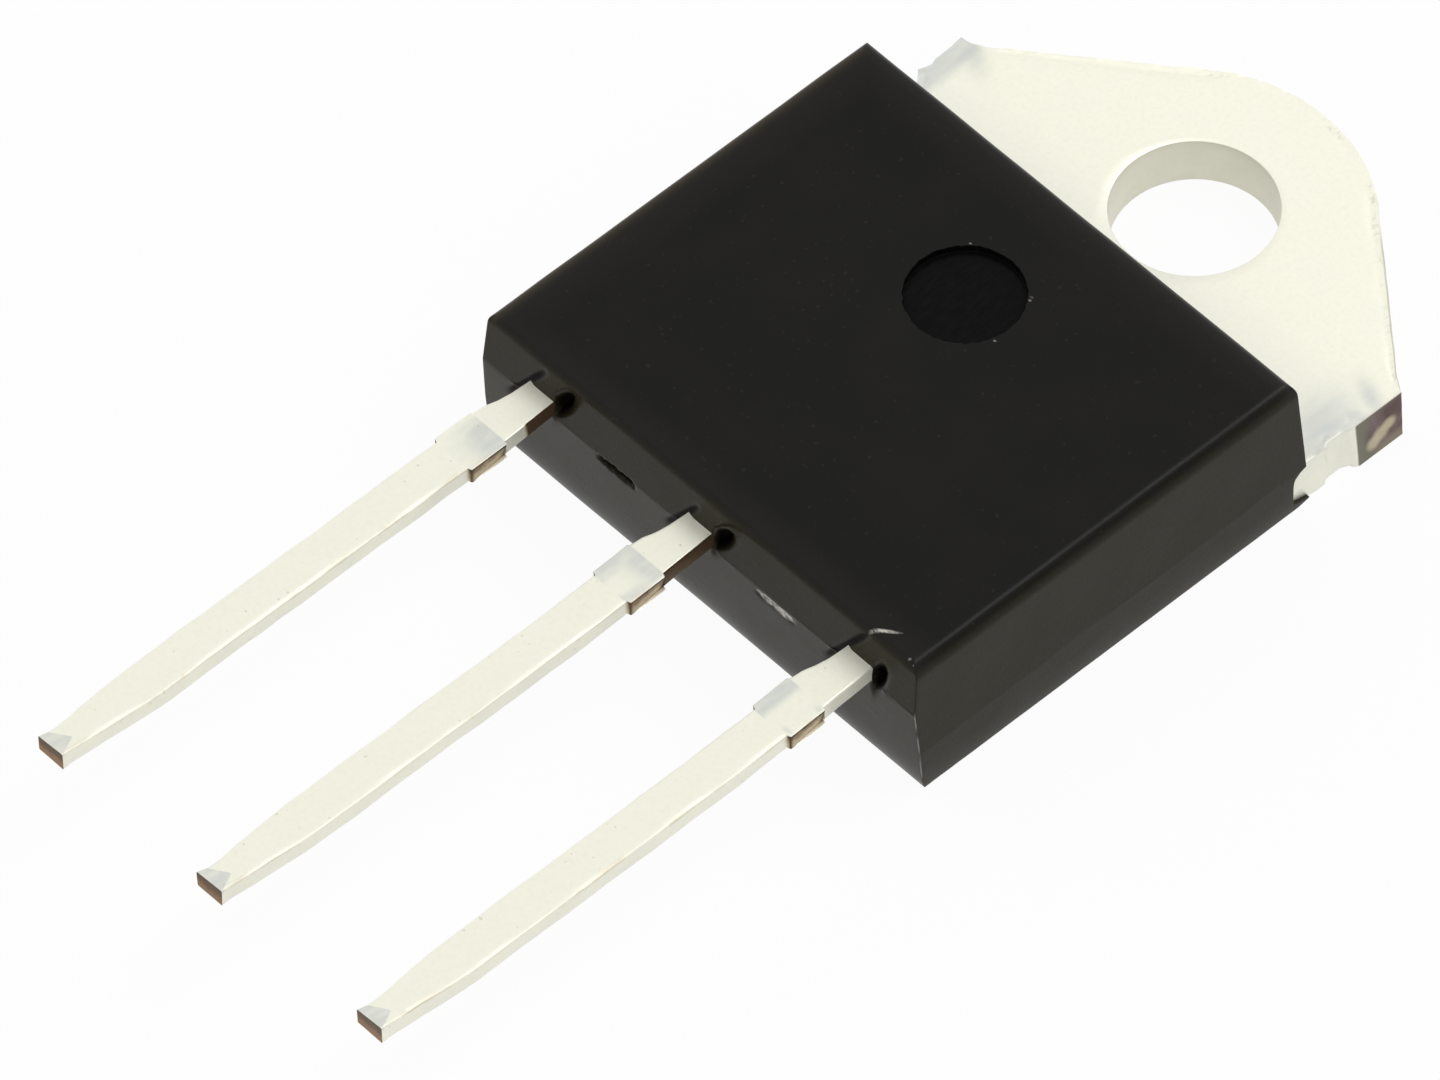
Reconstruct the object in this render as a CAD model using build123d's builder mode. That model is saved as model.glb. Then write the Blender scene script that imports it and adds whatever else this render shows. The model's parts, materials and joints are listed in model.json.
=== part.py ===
from build123d import *
from math import atan, cos, radians, sin, tan
import os

# A three-lead insulated power triac in a moulded package with a metal mounting tab.
# Frame: the origin is the axis of the mounting hole on the flat back face. X runs across
# the leads, Y from the leads to the tab, Z from the back face to the marked face.
# All sizes are in millimetres.

# ---------------------------------------------------------------- moulding
body_height = 4.5            # back face to marked face
body_width = 15.1            # over the parting line of the sides
body_width_top = 14.82       # at the marked face, before its edges are rounded
body_width_back = 15.06      # at the back face
body_rear = -3.52            # rear face where it meets the tab
body_rear_top = -3.69        # rear face at the marked face
body_front = -16.13          # front face at the underside of the leads
body_front_top = -15.97      # front face at the marked face
body_front_back = -15.85     # front face at the back
body_edge_radius = 0.3       # edges of the marked face and upright corners
ejector_mark_radius = 1.5
ejector_mark_depth = 0.12
ejector_mark_y = -7.4

# ---------------------------------------------------------------- header and tab
tab_thickness = 1.45
tab_hole_radius = 2.07
tab_end_radius = 4.6         # rounded end of the tab
tab_end_centre = -0.35       # centre of that round, a little in front of the hole
tab_flank_angle = 38.5       # slope of the cut corners against the X axis
tab_half_width = 7.45
right_tie_bar_reach = 7.6    # from the middle to the sheared end of each tie bar
left_tie_bar_reach = 7.75
tie_bar_front = -1.83
tie_bar_notch = 7.4          # half width just in front of the tie bars
tie_bar_notch_y = -2.25
tab_shoulder = -4.0          # where the header narrows inside the moulding
header_half_width = 6.5
header_front = -15.0
lock_step = 0.5              # ledge all round the header that the moulding grips
lock_height = 0.6

# ---------------------------------------------------------------- leads
lead_pitch = 5.5
lead_thickness = 0.5
lead_bottom = 2.9            # back face to the underside of the leads
lead_tip = -31.5
root_half_width = 0.41       # where a lead leaves the moulding
root_end = -16.4
flare_half_width = 0.57
flare_end = -17.2
dam_bar_half_width = 0.68    # stubs of the sheared dam bar
dam_bar_rear = -17.72
dam_bar_front = -18.88
stem_half_width = 0.56
taper_start = -29.2
tip_half_width = 0.43
tip_chamfer = 0.12
bond_pad_front = -15.3       # the leads widen into bond pads inside the moulding
bond_pad_rear = -13.5
bond_pad_size = 3.2          # width of the two outer bond pads
bond_pad_shift = 0.75        # their centres lie this much nearer the middle of the body
lock_hole_radius = 0.4       # holes in the outer bond pads that the moulding fills
lock_hole_inset = 0.7

# ---------------------------------------------------------------- stack inside the moulding
solder_thickness = 0.05
ceramic_thickness = 0.6
die_thickness = 0.3
stack_y = -9.4               # centre of the stack
ceramic_size = (10.8, 9.5)
header_solder_size = (10.2, 8.9)
die_pad_size = (9.2, 8.2)
pad_solder_size = (8.8, 7.8)
die_size = (7.0, 7.0)
die_solder_size = (6.6, 6.6)
die_groove_width = 0.25      # glass filled groove round the upper face of the die
die_groove_depth = 0.08
joggle_front = -14.7         # step of the middle lead down to its die pad
joggle_rear = -13.8
shoulder_half_width = 1.4    # the middle lead on that step
main_clip_thickness = 0.35
main_clip_left = -3.0        # foot of the main clip on the die
main_clip_right = 1.6
main_clip_rear = -6.2
gate_clip_thickness = 0.25
gate_clip_width = 0.9
gate_foot = (2.75, -11.6)    # where the gate clip stands on the die
clip_step_front = -13.4      # both clips step down here from the leads to the die
clip_step_rear = -12.7
foot_inset = 0.15            # solder stays this far inside the clip's edge

# heights of the stack from the header up
ceramic_bottom = tab_thickness + solder_thickness
pad_solder_bottom = ceramic_bottom + ceramic_thickness
die_pad_bottom = pad_solder_bottom + solder_thickness
die_solder_bottom = die_pad_bottom + lead_thickness
die_bottom = die_solder_bottom + solder_thickness
die_top = die_bottom + die_thickness
clip_low = die_top + solder_thickness
lead_top = lead_bottom + lead_thickness
clip_high = lead_top + solder_thickness

parts_folder = "parts"
os.makedirs(parts_folder, exist_ok=True)


def save(piece, label):
    """Labels a finished piece and writes it to a STEP file of its own."""
    piece.part.label = label
    export_step(piece.part, f"{parts_folder}/{label}.step")
    print(f"{label}: {piece.part.volume:.2f} mm3")


def layer(size, centre, bottom, thickness):
    """A flat rectangular layer of the stack."""
    with BuildPart() as piece:
        with BuildSketch(Plane.XY.offset(bottom)):
            with Locations(centre):
                Rectangle(*size)
        extrude(amount=thickness)
    return piece


def lead_outline(centre):
    """Corners of the plan of one lead, from the moulding to its tip and back."""
    steps = [
        (root_half_width, bond_pad_front),
        (root_half_width, root_end),
        (flare_half_width, flare_end),
        (flare_half_width, dam_bar_rear),
        (dam_bar_half_width, dam_bar_rear),
        (dam_bar_half_width, dam_bar_front),
        (stem_half_width, dam_bar_front),
        (stem_half_width, taper_start),
        (tip_half_width, lead_tip),
    ]
    left = [(centre - half_width, y) for half_width, y in steps]
    right = [(centre + half_width, y) for half_width, y in reversed(steps)]
    return left + right


def stepped_strip(front, rear, high, low, step_front, step_rear, thickness):
    """Corners of the side view of a strip that steps down on its way from front to rear.

    high and low are the heights of its underside. The upper corners of the step are
    shifted by the thickness times the tangent of half the slope, so that the strip is as
    thick in its slope as in its flats.
    """
    slope = atan((high - low) / (step_rear - step_front))
    shift = thickness * tan(slope / 2)
    return [
        (front, high),
        (step_front, high),
        (step_rear, low),
        (rear, low),
        (rear, low + thickness),
        (step_rear + shift, low + thickness),
        (step_front + shift, high + thickness),
        (front, high + thickness),
    ]


def bevel_tip(lead):
    """Breaks the upper edge of a lead's cut end, inside the lead's own block."""
    end_face = lead.faces().sort_by(Axis.Y)[0]
    chamfer(end_face.edges().sort_by(Axis.Z)[-1], length=tip_chamfer)


# ---------------------------------------------------------------- header with the mounting tab
# One stamping of copper. Its bare tab has a round end, straight cut corners and the stubs
# of two tie bars. Inside the moulding it narrows, and its lower rim is stepped back.
flank_direction = radians(tab_flank_angle)
tangent_x = tab_end_radius * sin(flank_direction)
tangent_y = tab_end_centre + tab_end_radius * cos(flank_direction)


def tab_side(side, reach):
    """Corners of one side of the tab, from its shoulder to the start of its round end."""
    tie_bar_rear = tangent_y - (reach - tangent_x) * tan(flank_direction)
    corners = [
        (tab_half_width, tab_shoulder),
        (tab_half_width, 2 * tie_bar_notch_y - tie_bar_front),
        (tie_bar_notch, tie_bar_notch_y),
        (reach, tie_bar_front),
        (reach, tie_bar_rear),
        (tangent_x, tangent_y),
    ]
    return [(side * x, y) for x, y in corners]


with BuildPart() as heatsink_tab:
    with BuildSketch():
        with BuildLine():
            Polyline((0, tab_shoulder), *tab_side(1, right_tie_bar_reach))
            ThreePointArc(
                (tangent_x, tangent_y),
                (0, tab_end_centre + tab_end_radius),
                (-tangent_x, tangent_y),
            )
            Polyline(*reversed(tab_side(-1, left_tie_bar_reach)), (0, tab_shoulder))
        make_face()
    extrude(amount=tab_thickness)
    header_middle = (tab_shoulder + header_front) / 2
    header_length = tab_shoulder - header_front
    with BuildSketch(Plane.XY.offset(lock_height)):
        with Locations((0, header_middle)):
            Rectangle(2 * header_half_width, header_length)
    extrude(amount=tab_thickness - lock_height)
    with BuildSketch():
        with Locations((0, header_middle + lock_step / 2)):
            Rectangle(2 * (header_half_width - lock_step), header_length - lock_step)
    extrude(amount=lock_height)
    Hole(tab_hole_radius)

save(heatsink_tab, "heatsink_tab")

# ---------------------------------------------------------------- insulator and solder layers
stack_centre = (0, stack_y)
header_solder = layer(header_solder_size, stack_centre, tab_thickness, solder_thickness)
ceramic_insulator = layer(ceramic_size, stack_centre, ceramic_bottom, ceramic_thickness)
pad_solder = layer(pad_solder_size, stack_centre, pad_solder_bottom, solder_thickness)
die_solder = layer(die_solder_size, stack_centre, die_solder_bottom, solder_thickness)

save(header_solder, "header_solder")
save(ceramic_insulator, "ceramic_insulator")
save(pad_solder, "die_pad_solder")
save(die_solder, "die_solder")

# ---------------------------------------------------------------- triac die
# A square of silicon. Its glass filled edge groove shows as a step round the upper face.
with BuildPart() as triac_die:
    with BuildSketch(Plane.XY.offset(die_bottom)):
        with Locations(stack_centre):
            Rectangle(*die_size)
    extrude(amount=die_thickness - die_groove_depth)
    with BuildSketch(Plane.XY.offset(die_top - die_groove_depth)):
        with Locations(stack_centre):
            Rectangle(die_size[0] - 2 * die_groove_width, die_size[1] - 2 * die_groove_width)
    extrude(amount=die_groove_depth)

save(triac_die, "triac_die")

# ---------------------------------------------------------------- outer leads
# Main terminal 1 is on the left and the gate on the right. Both are flat stampings that
# end in a bond pad with a lock hole.
def outer_lead(side):
    """The flat lead on one side, -1 for main terminal 1 and 1 for the gate."""
    centre = side * lead_pitch
    pad_centre = side * (lead_pitch - bond_pad_shift)
    pad_middle = (bond_pad_front + bond_pad_rear) / 2
    hole_x = pad_centre + side * (bond_pad_size / 2 - lock_hole_inset)
    with BuildPart() as lead:
        with BuildSketch(Plane.XY.offset(lead_bottom)):
            with BuildLine():
                Polyline(*lead_outline(centre), close=True)
            make_face()
            with Locations((pad_centre, pad_middle)):
                Rectangle(bond_pad_size, bond_pad_rear - bond_pad_front)
            with Locations((hole_x, bond_pad_front + lock_hole_inset)):
                Circle(lock_hole_radius, mode=Mode.SUBTRACT)
        extrude(amount=lead_thickness)
        bevel_tip(lead)
    return lead


main_terminal_1_lead = outer_lead(-1)
gate_lead = outer_lead(1)

save(main_terminal_1_lead, "main_terminal_1_lead")
save(gate_lead, "gate_lead")

# ---------------------------------------------------------------- middle lead with the die pad
# The blank is stamped flat and then stepped down, so that its die pad lies on the ceramic.
die_pad_front = stack_y - die_pad_size[1] / 2
die_pad_rear = stack_y + die_pad_size[1] / 2
middle_lead_side = stepped_strip(
    lead_tip, die_pad_rear, lead_bottom, die_pad_bottom,
    joggle_front, joggle_rear, lead_thickness,
)
with BuildPart() as main_terminal_2_lead:
    with BuildSketch(Plane.YZ):
        with BuildLine():
            Polyline(*middle_lead_side, close=True)
        make_face()
    extrude(amount=die_pad_size[0] / 2, both=True)
    with BuildSketch():
        with BuildLine():
            Polyline(*lead_outline(0), close=True)
        make_face()
        with Locations((0, (bond_pad_front + die_pad_front) / 2)):
            Rectangle(2 * shoulder_half_width, die_pad_front - bond_pad_front)
        with Locations(stack_centre):
            Rectangle(*die_pad_size)
    extrude(amount=body_height, mode=Mode.INTERSECT)
    bevel_tip(main_terminal_2_lead)

save(main_terminal_2_lead, "main_terminal_2_lead")

# ---------------------------------------------------------------- clips from the leads to the die
# Each clip is a strip with one step, cut to its plan. The main clip carries the load
# current and covers most of the die. The gate clip is a narrow bar to one corner.
clip_front = bond_pad_front + 0.5
main_clip_outer = -lead_pitch - 0.5
main_clip_side = stepped_strip(
    clip_front, main_clip_rear, clip_high, clip_low,
    clip_step_front, clip_step_rear, main_clip_thickness,
)
with BuildPart() as main_clip:
    with BuildSketch(Plane.YZ):
        with BuildLine():
            Polyline(*main_clip_side, close=True)
        make_face()
    extrude(amount=body_width / 2, both=True)
    with BuildSketch():
        with BuildLine():
            Polyline(
                (main_clip_outer, clip_front),
                (-lead_pitch + bond_pad_size / 2, clip_front),
                (main_clip_right, clip_step_rear),
                (main_clip_right, main_clip_rear),
                (main_clip_left, main_clip_rear),
                (main_clip_left, clip_step_rear + 0.6),
                (main_clip_outer, clip_step_front),
                close=True,
            )
        make_face()
    extrude(amount=body_height, mode=Mode.INTERSECT)

gate_clip_rear = gate_foot[1] + gate_clip_width
half_clip = gate_clip_width / 2
gate_clip_side = stepped_strip(
    clip_front, gate_clip_rear, clip_high, clip_low,
    clip_step_front, clip_step_rear, gate_clip_thickness,
)
with BuildPart() as gate_clip:
    with BuildSketch(Plane.YZ):
        with BuildLine():
            Polyline(*gate_clip_side, close=True)
        make_face()
    extrude(amount=body_width / 2, both=True)
    with BuildSketch():
        with BuildLine():
            Polyline(
                (lead_pitch - half_clip, clip_front),
                (lead_pitch + half_clip, clip_front),
                (lead_pitch + half_clip, clip_step_front - 0.4),
                (gate_foot[0] + half_clip, gate_foot[1]),
                (gate_foot[0] + half_clip, gate_clip_rear),
                (gate_foot[0] - half_clip, gate_clip_rear),
                (gate_foot[0] - half_clip, gate_foot[1] - 0.4),
                (lead_pitch - half_clip, clip_step_front - 0.8),
                close=True,
            )
        make_face()
    extrude(amount=body_height, mode=Mode.INTERSECT)

save(main_clip, "main_clip")
save(gate_clip, "gate_clip")

# ---------------------------------------------------------------- solder under the clips
main_foot_size = (
    main_clip_right - main_clip_left - 2 * foot_inset,
    main_clip_rear - (stack_y - die_solder_size[1] / 2) - foot_inset,
)
main_foot_centre = (
    (main_clip_left + main_clip_right) / 2,
    main_clip_rear - foot_inset - main_foot_size[1] / 2,
)
gate_foot_size = (gate_clip_width - 2 * foot_inset, gate_clip_width - foot_inset)
gate_foot_centre = (gate_foot[0], gate_foot[1] + gate_foot_size[1] / 2)
lead_joint_length = clip_step_front - clip_front - 2 * foot_inset
lead_joint_y = (clip_step_front + clip_front) / 2
main_joint_width = bond_pad_size / 2 + 0.5 - 3 * foot_inset
main_joint_x = main_clip_outer + foot_inset + main_joint_width / 2

main_foot_solder = layer(main_foot_size, main_foot_centre, die_top, solder_thickness)
gate_foot_solder = layer(gate_foot_size, gate_foot_centre, die_top, solder_thickness)
main_lead_solder = layer(
    (main_joint_width, lead_joint_length), (main_joint_x, lead_joint_y), lead_top, solder_thickness
)
gate_lead_solder = layer(
    (gate_foot_size[0], lead_joint_length / 2),
    (lead_pitch, clip_front + foot_inset + lead_joint_length / 4),
    lead_top,
    solder_thickness,
)

save(main_foot_solder, "main_foot_solder")
save(gate_foot_solder, "gate_foot_solder")
save(main_lead_solder, "main_lead_solder")
save(gate_lead_solder, "gate_lead_solder")

# ---------------------------------------------------------------- moulding
# Epoxy moulded round all the other pieces. It is widest along its parting line, which runs
# at the top of the tab round the sides and rear, and at the underside of the leads in front.
# Above and below that line every face leans in so that the moulding leaves its tool.
inner_pieces = [
    heatsink_tab, header_solder, ceramic_insulator, pad_solder, die_solder, triac_die,
    main_terminal_1_lead, main_terminal_2_lead, gate_lead, main_clip, gate_clip,
    main_foot_solder, gate_foot_solder, main_lead_solder, gate_lead_solder,
]

front_slope = (body_front_top - body_front) / (body_height - lead_bottom)
body_front_low = body_front - front_slope * (lead_bottom - tab_thickness)

# level sections of the upper and the lower half: height, width, front, rear
upper_half = [
    (tab_thickness, body_width, body_front_low, body_rear),
    (body_height, body_width_top, body_front_top, body_rear_top),
]
lower_half = [
    (0, body_width_back, body_front_low, tab_shoulder),
    (tab_thickness, body_width, body_front_low, tab_shoulder),
]

with BuildPart() as moulded_body:
    for half in (upper_half, lower_half):
        for height, width, front, rear in half:
            with BuildSketch(Plane.XY.offset(height)):
                with Locations((0, (front + rear) / 2)):
                    Rectangle(width, rear - front)
        loft()
    # the front face leans in again below the leads
    with BuildSketch(Plane.YZ):
        with BuildLine():
            Polyline(
                (body_front, lead_bottom),
                (body_front_back, 0),
                (lead_tip, 0),
                (lead_tip, lead_bottom),
                close=True,
            )
        make_face()
    extrude(amount=body_width, both=True, mode=Mode.SUBTRACT)
    # upright corners, but not where the sides of the tab come out of the lower half
    upright = moulded_body.edges().filter_by(lambda edge: abs(edge.tangent_at(0.5).Z) > 0.9)
    beside_tab = upright.filter_by_position(Axis.Y, tab_shoulder, tab_shoulder)
    fillet(upright - beside_tab, radius=body_edge_radius)
    fillet(moulded_body.faces().sort_by(Axis.Z)[-1].edges(), radius=body_edge_radius)
    # round mark of the ejector pin
    with BuildSketch(Plane.XY.offset(body_height)):
        with Locations((0, ejector_mark_y)):
            Circle(ejector_mark_radius)
    extrude(amount=-ejector_mark_depth, mode=Mode.SUBTRACT)
    for inner_piece in inner_pieces:
        add(inner_piece.part, mode=Mode.SUBTRACT)

save(moulded_body, "moulded_body")
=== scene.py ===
# %% [markdown]
# # A power triac, finished in Blender
# This lesson dresses a packed three-lead triac. The construction comes from the frame: every
# solid at its real size, in metres. The lesson replaces what can be seen (the moulding, the
# metal tab and the leads) by finer surfaces, gives every inner piece its material, and sets
# up a plain studio.

# %% Load the frame
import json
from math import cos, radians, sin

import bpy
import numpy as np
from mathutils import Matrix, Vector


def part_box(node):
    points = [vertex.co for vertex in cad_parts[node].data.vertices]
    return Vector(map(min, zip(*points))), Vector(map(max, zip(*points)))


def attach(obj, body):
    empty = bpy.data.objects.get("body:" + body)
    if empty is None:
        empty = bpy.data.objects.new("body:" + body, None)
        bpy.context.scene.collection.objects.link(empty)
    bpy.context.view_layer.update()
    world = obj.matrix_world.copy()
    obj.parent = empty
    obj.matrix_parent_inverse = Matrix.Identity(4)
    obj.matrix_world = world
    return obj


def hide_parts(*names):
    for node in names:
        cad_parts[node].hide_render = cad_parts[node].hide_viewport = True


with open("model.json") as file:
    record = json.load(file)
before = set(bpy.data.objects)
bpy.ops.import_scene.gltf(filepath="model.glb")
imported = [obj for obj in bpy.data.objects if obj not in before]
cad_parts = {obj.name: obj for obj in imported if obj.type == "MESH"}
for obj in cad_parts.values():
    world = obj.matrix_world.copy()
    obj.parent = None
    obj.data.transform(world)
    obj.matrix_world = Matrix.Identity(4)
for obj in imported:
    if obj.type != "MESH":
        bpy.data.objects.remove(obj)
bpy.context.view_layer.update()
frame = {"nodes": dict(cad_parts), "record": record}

# %% [markdown]
# ## Sizes
# The real object is measured in millimetres, and Blender's scene in metres. All shapes below
# are worked out in millimetres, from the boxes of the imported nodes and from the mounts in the
# record, and are turned to metres at the one place where a mesh is made. Only small features
# that the solids leave out, such as drafts and burrs, get numbers of their own.

MM = 0.001


def box_mm(node):
    """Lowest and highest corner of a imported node, in millimetres."""
    low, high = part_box(node)
    return np.array(low) / MM, np.array(high) / MM


body_low, body_high = box_mm("moulded_body")
tab_low, tab_high = box_mm("heatsink_tab")
gate_low, gate_high = box_mm("gate_lead")
pad_low, pad_high = box_mm("main_terminal_2_lead")
tab_top, body_top = tab_high[2], body_high[2]
lead_tip, lead_bottom, lead_top = gate_low[1], gate_low[2], gate_high[2]
mounts = {mount["name"]: mount for mount in frame["record"]["mounts"]}
hole_radius = mounts["mounting_hole"]["dims"]["r_mm"]
lead_pitch = mounts["gate_end"]["pos_m"][0] / MM
print("moulding", body_high - body_low, "tab", tab_high - tab_low, "hole radius", hole_radius)

# %% [markdown]
# ## From rings of points to a mesh
# Every visible piece of this part is a profile carried along a path: the moulding is a stack
# of level outlines, the tab is a section carried round its hole, and a lead is a section
# carried along its length. So one helper can make them all. It takes a grid of points, whose
# rows are closed rings, joins neighbours into four-sided faces, and closes the first and the
# last ring with a fan, or joins them where the surface closes on itself like a tyre.

# %% Rings to mesh
sharp_angle = radians(38)      # faces that meet at more than this make a hard edge


def ring_mesh(name, rows, tyre=False, row_material=None):
    """Makes an object from rings of points.

    rows has the shape (rings, points, 3), in millimetres. Face (i, j) has the corners
    (i, j), (i, j+1), (i+1, j+1), (i+1, j), so it looks outwards where the ring's direction
    crossed with the direction to the next ring points outwards. row_material names the
    material slot of each row of faces, where a piece has more than one.
    """
    count, width = rows.shape[:2]
    index = np.arange(count * width).reshape(count, width)
    following = np.roll(index, -1, axis=1)
    if tyre:
        lower, upper = index, np.roll(index, -1, axis=0)
        lower_next, upper_next = following, np.roll(following, -1, axis=0)
    else:
        lower, upper = index[:-1], index[1:]
        lower_next, upper_next = following[:-1], following[1:]
    corners = np.stack([lower, lower_next, upper_next, upper], axis=-1).reshape(-1)
    starts = np.arange(len(corners) // 4) * 4
    points = rows.reshape(-1, 3)
    if not tyre:
        poles = np.stack([rows[0].mean(axis=0), rows[-1].mean(axis=0)])
        first_pole = np.full(width, count * width)
        first_fan = np.stack([first_pole, following[0], index[0]], axis=-1)
        last_fan = np.stack([first_pole + 1, index[-1], following[-1]], axis=-1)
        starts = np.concatenate([starts, len(corners) + np.arange(2 * width) * 3])
        corners = np.concatenate([corners, first_fan.reshape(-1), last_fan.reshape(-1)])
        points = np.concatenate([points, poles])
    mesh = bpy.data.meshes.new(name)
    mesh.vertices.add(len(points))
    mesh.vertices.foreach_set("co", (points * MM).astype(np.float32).reshape(-1))
    mesh.loops.add(len(corners))
    mesh.loops.foreach_set("vertex_index", corners.astype(np.int32))
    mesh.polygons.add(len(starts))
    mesh.polygons.foreach_set("loop_start", starts.astype(np.int32))
    if row_material is not None:
        closing = np.repeat([row_material[0], row_material[-1]], width)
        slots = np.concatenate([np.repeat(row_material, width), closing])
        mesh.polygons.foreach_set("material_index", slots.astype(np.int32))
    mesh.update(calc_edges=True)
    mesh.validate()
    mesh.shade_smooth()
    mesh.set_sharp_from_angle(angle=sharp_angle)
    piece = bpy.data.objects.new(name, mesh)
    bpy.context.scene.collection.objects.link(piece)
    print(name, len(mesh.polygons), "faces")
    return piece


def mark_points(piece, name, values):
    """Stores one number per point of a ring mesh; the poles take their ring's mean."""
    flat = values.reshape(-1)
    if len(piece.data.vertices) > len(flat):
        flat = np.concatenate([flat, [values[0].mean(), values[-1].mean()]])
    attribute = piece.data.attributes.new(name, "FLOAT", "POINT")
    attribute.data.foreach_set("value", flat.astype(np.float32))


print("faces are smooth up to", round(np.degrees(sharp_angle)), "degrees")

# %% [markdown]
# ## Uneven edges
# A stamped or moulded edge is never straight. Its waver has to be smooth, the same on each
# run, and continuous all round a ring. A sum of a few plane waves in random directions does
# all that: it depends only on where a point is, so it cannot break at a seam. The faults
# themselves start and end in three ways, as a step, as a window or as a bell.

# %% Waver, step, window and bell


def waver(points, size, seed):
    """Smooth random field, about -1 to 1: the sum of twelve sines of the point's distance
    along random directions, with wavelengths near size (mm), divided by their spread."""
    random = np.random.default_rng(seed)
    directions = random.normal(size=(12, 3))
    directions /= np.linalg.norm(directions, axis=1, keepdims=True)
    waves = 2 * np.pi / (size * random.uniform(0.6, 1.7, 12))
    phases = random.uniform(0, 2 * np.pi, 12)
    return np.sin((points @ directions.T) * waves + phases).sum(axis=-1) / 3.5


def smooth_step(values, start, end):
    """0 before start, 1 after end, and the cubic 3t^2 - 2t^3 between them."""
    t = np.clip((values - start) / (end - start), 0, 1)
    return t * t * (3 - 2 * t)


def between(values, low, high, soft):
    """1 between low and high and 0 outside, with edges that are soft wide."""
    rise = smooth_step(values, low - soft / 2, low + soft / 2)
    return rise * (1 - smooth_step(values, high - soft / 2, high + soft / 2))


def bell(distance, width, power=2):
    """exp(-(distance / width)^power): 1 in the middle, and flatter there with power 4."""
    return np.exp(-(distance / width) ** power)


print("a bell at its middle and at one width:", bell(0.0, 1.0), round(float(bell(1.0, 1.0)), 3))

# %% [markdown]
# ## The moulding
# On the real part, black filled epoxy is pressed round the metal in a two-part tool. The
# tool's halves meet at the top of the tab along the sides, and at the leads in front, and
# from that line every face leans in so that the part comes out. It could be a box with
# bevels, but then each lean would need its own edit. A stack of level outlines is better: the
# lean is a function of height, and the same rows carry the parting flash, the torn places at
# the leads and the rounding at the top. It starts with one flat ring, which is kept as a
# place on a square and a facing, so that it can be stretched without spoiling its corners.

# %% A ring with rounded corners
square = np.array([[-1, -1], [1, -1], [1, 1], [-1, 1]], dtype=float)
points_on_sides = (300, 110, 90, 110)      # front, right, rear, left


def circle_points(angles):
    """Points of the unit circle: the cosine and the sine of each angle."""
    return np.stack([np.cos(angles), np.sin(angles)], axis=-1)


def rounded_ring(corners, counts, first_angle, turn, corner_count):
    """Place and facing of each point round a rounded square of half size 1.

    Along a side the place moves and the facing stays. Round a corner the place stays and the
    facing turns by 90 degrees, anticlockwise for turn 1 and clockwise for turn -1.
    """
    places, facings = [], []
    for side, count in enumerate(counts):
        start, end = corners[side], corners[(side + 1) % 4]
        angle = radians(first_angle + 90 * turn * side)
        turning = angle + turn * np.linspace(0, np.pi / 2, corner_count + 2)[1:-1]
        places.append(start + (end - start) * np.linspace(0, 1, count)[:, None])
        places.append(np.repeat(end[None], corner_count, axis=0))
        facings += [np.repeat([[cos(angle), sin(angle)]], count, axis=0), circle_points(turning)]
    return np.concatenate(places), np.concatenate(facings)


place, facing = rounded_ring(square, points_on_sides, -90, 1, 7)
print("points round the moulding", len(place))

# %% [markdown]
# Each wall has its own course from the seat up to the marked face. The sides and the front
# lean in both ways from the parting line. The rear wall stands back beside the tab, where the
# tool shuts against the metal, and a wedge of flash swells out low down. The upper edges are
# quarter ellipses, larger on the right, where the tool is more worn.

# %% Walls at each height
upright_radius = 0.03          # of the four upright corners
right_round, left_round = (0.33, 0.45), (0.22, 0.32)     # inset and drop of the upper edges
rear_round, front_round = (0.25, 0.36), (0.19, 0.26)
side_lean, front_lean, rear_lean = 0.14, 0.18, 0.17      # how far a face leans in at the top
side_tuck, front_tuck, rear_tuck = 0.05, 0.14, 0.42      # how far it stands back low down
front_hem = 0.12               # rounding of the front face's lower edge
wedge_reach = 0.14             # how far the flash at the rear goes past the face
inset_x, drop_x = np.where(place[:, :1] > 0, right_round, left_round).T
inset_y, drop_y = np.where(place[:, 1:] > 0, rear_round, front_round).T


def side_place(height):
    """Half width: it leans in by a straight line upwards, and by a cubic curve downwards."""
    above = np.clip((height - tab_top) / (body_top - tab_top), 0, 1)
    below = np.clip((tab_top - height) / tab_top, 0, 1) ** 3
    return body_high[0] - side_lean * above - side_tuck * below


def front_place(height):
    """Front face: straight leans up and down from the leads, and a rounded lower edge."""
    above = np.clip((height - lead_bottom) / (body_top - lead_bottom), 0, 1)
    down = np.clip((lead_bottom - height) / lead_bottom, 0, 1)
    return body_low[1] + front_lean * above + front_tuck * down + front_hem * down ** 8


def rear_place(height):
    """Rear face: it leans in upwards, stands back beside the tab by a high power of the
    height, and swells out again close to the seat in a bell-shaped wedge of flash."""
    leaning = np.interp(height, [tab_top, body_top], [0, rear_lean])
    undercut = rear_tuck * (1 - np.clip(height / tab_top, 0, 1) ** 13)
    return body_high[1] - leaning - undercut + (rear_tuck + wedge_reach) * bell(height - 0.16, 0.10)


def wall_steepness(height):
    """Upright part of the facing, for the sides and for the ends: sqrt(1 - t^2), where t goes
    from 0 to 1 up the rounding. It is 1 on the walls and 0 at the marked face."""
    rise = height - body_top
    return [np.sqrt(1 - np.clip(rise / drop + 1, 0, 1) ** 2) for drop in (drop_x, drop_y)]


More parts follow.
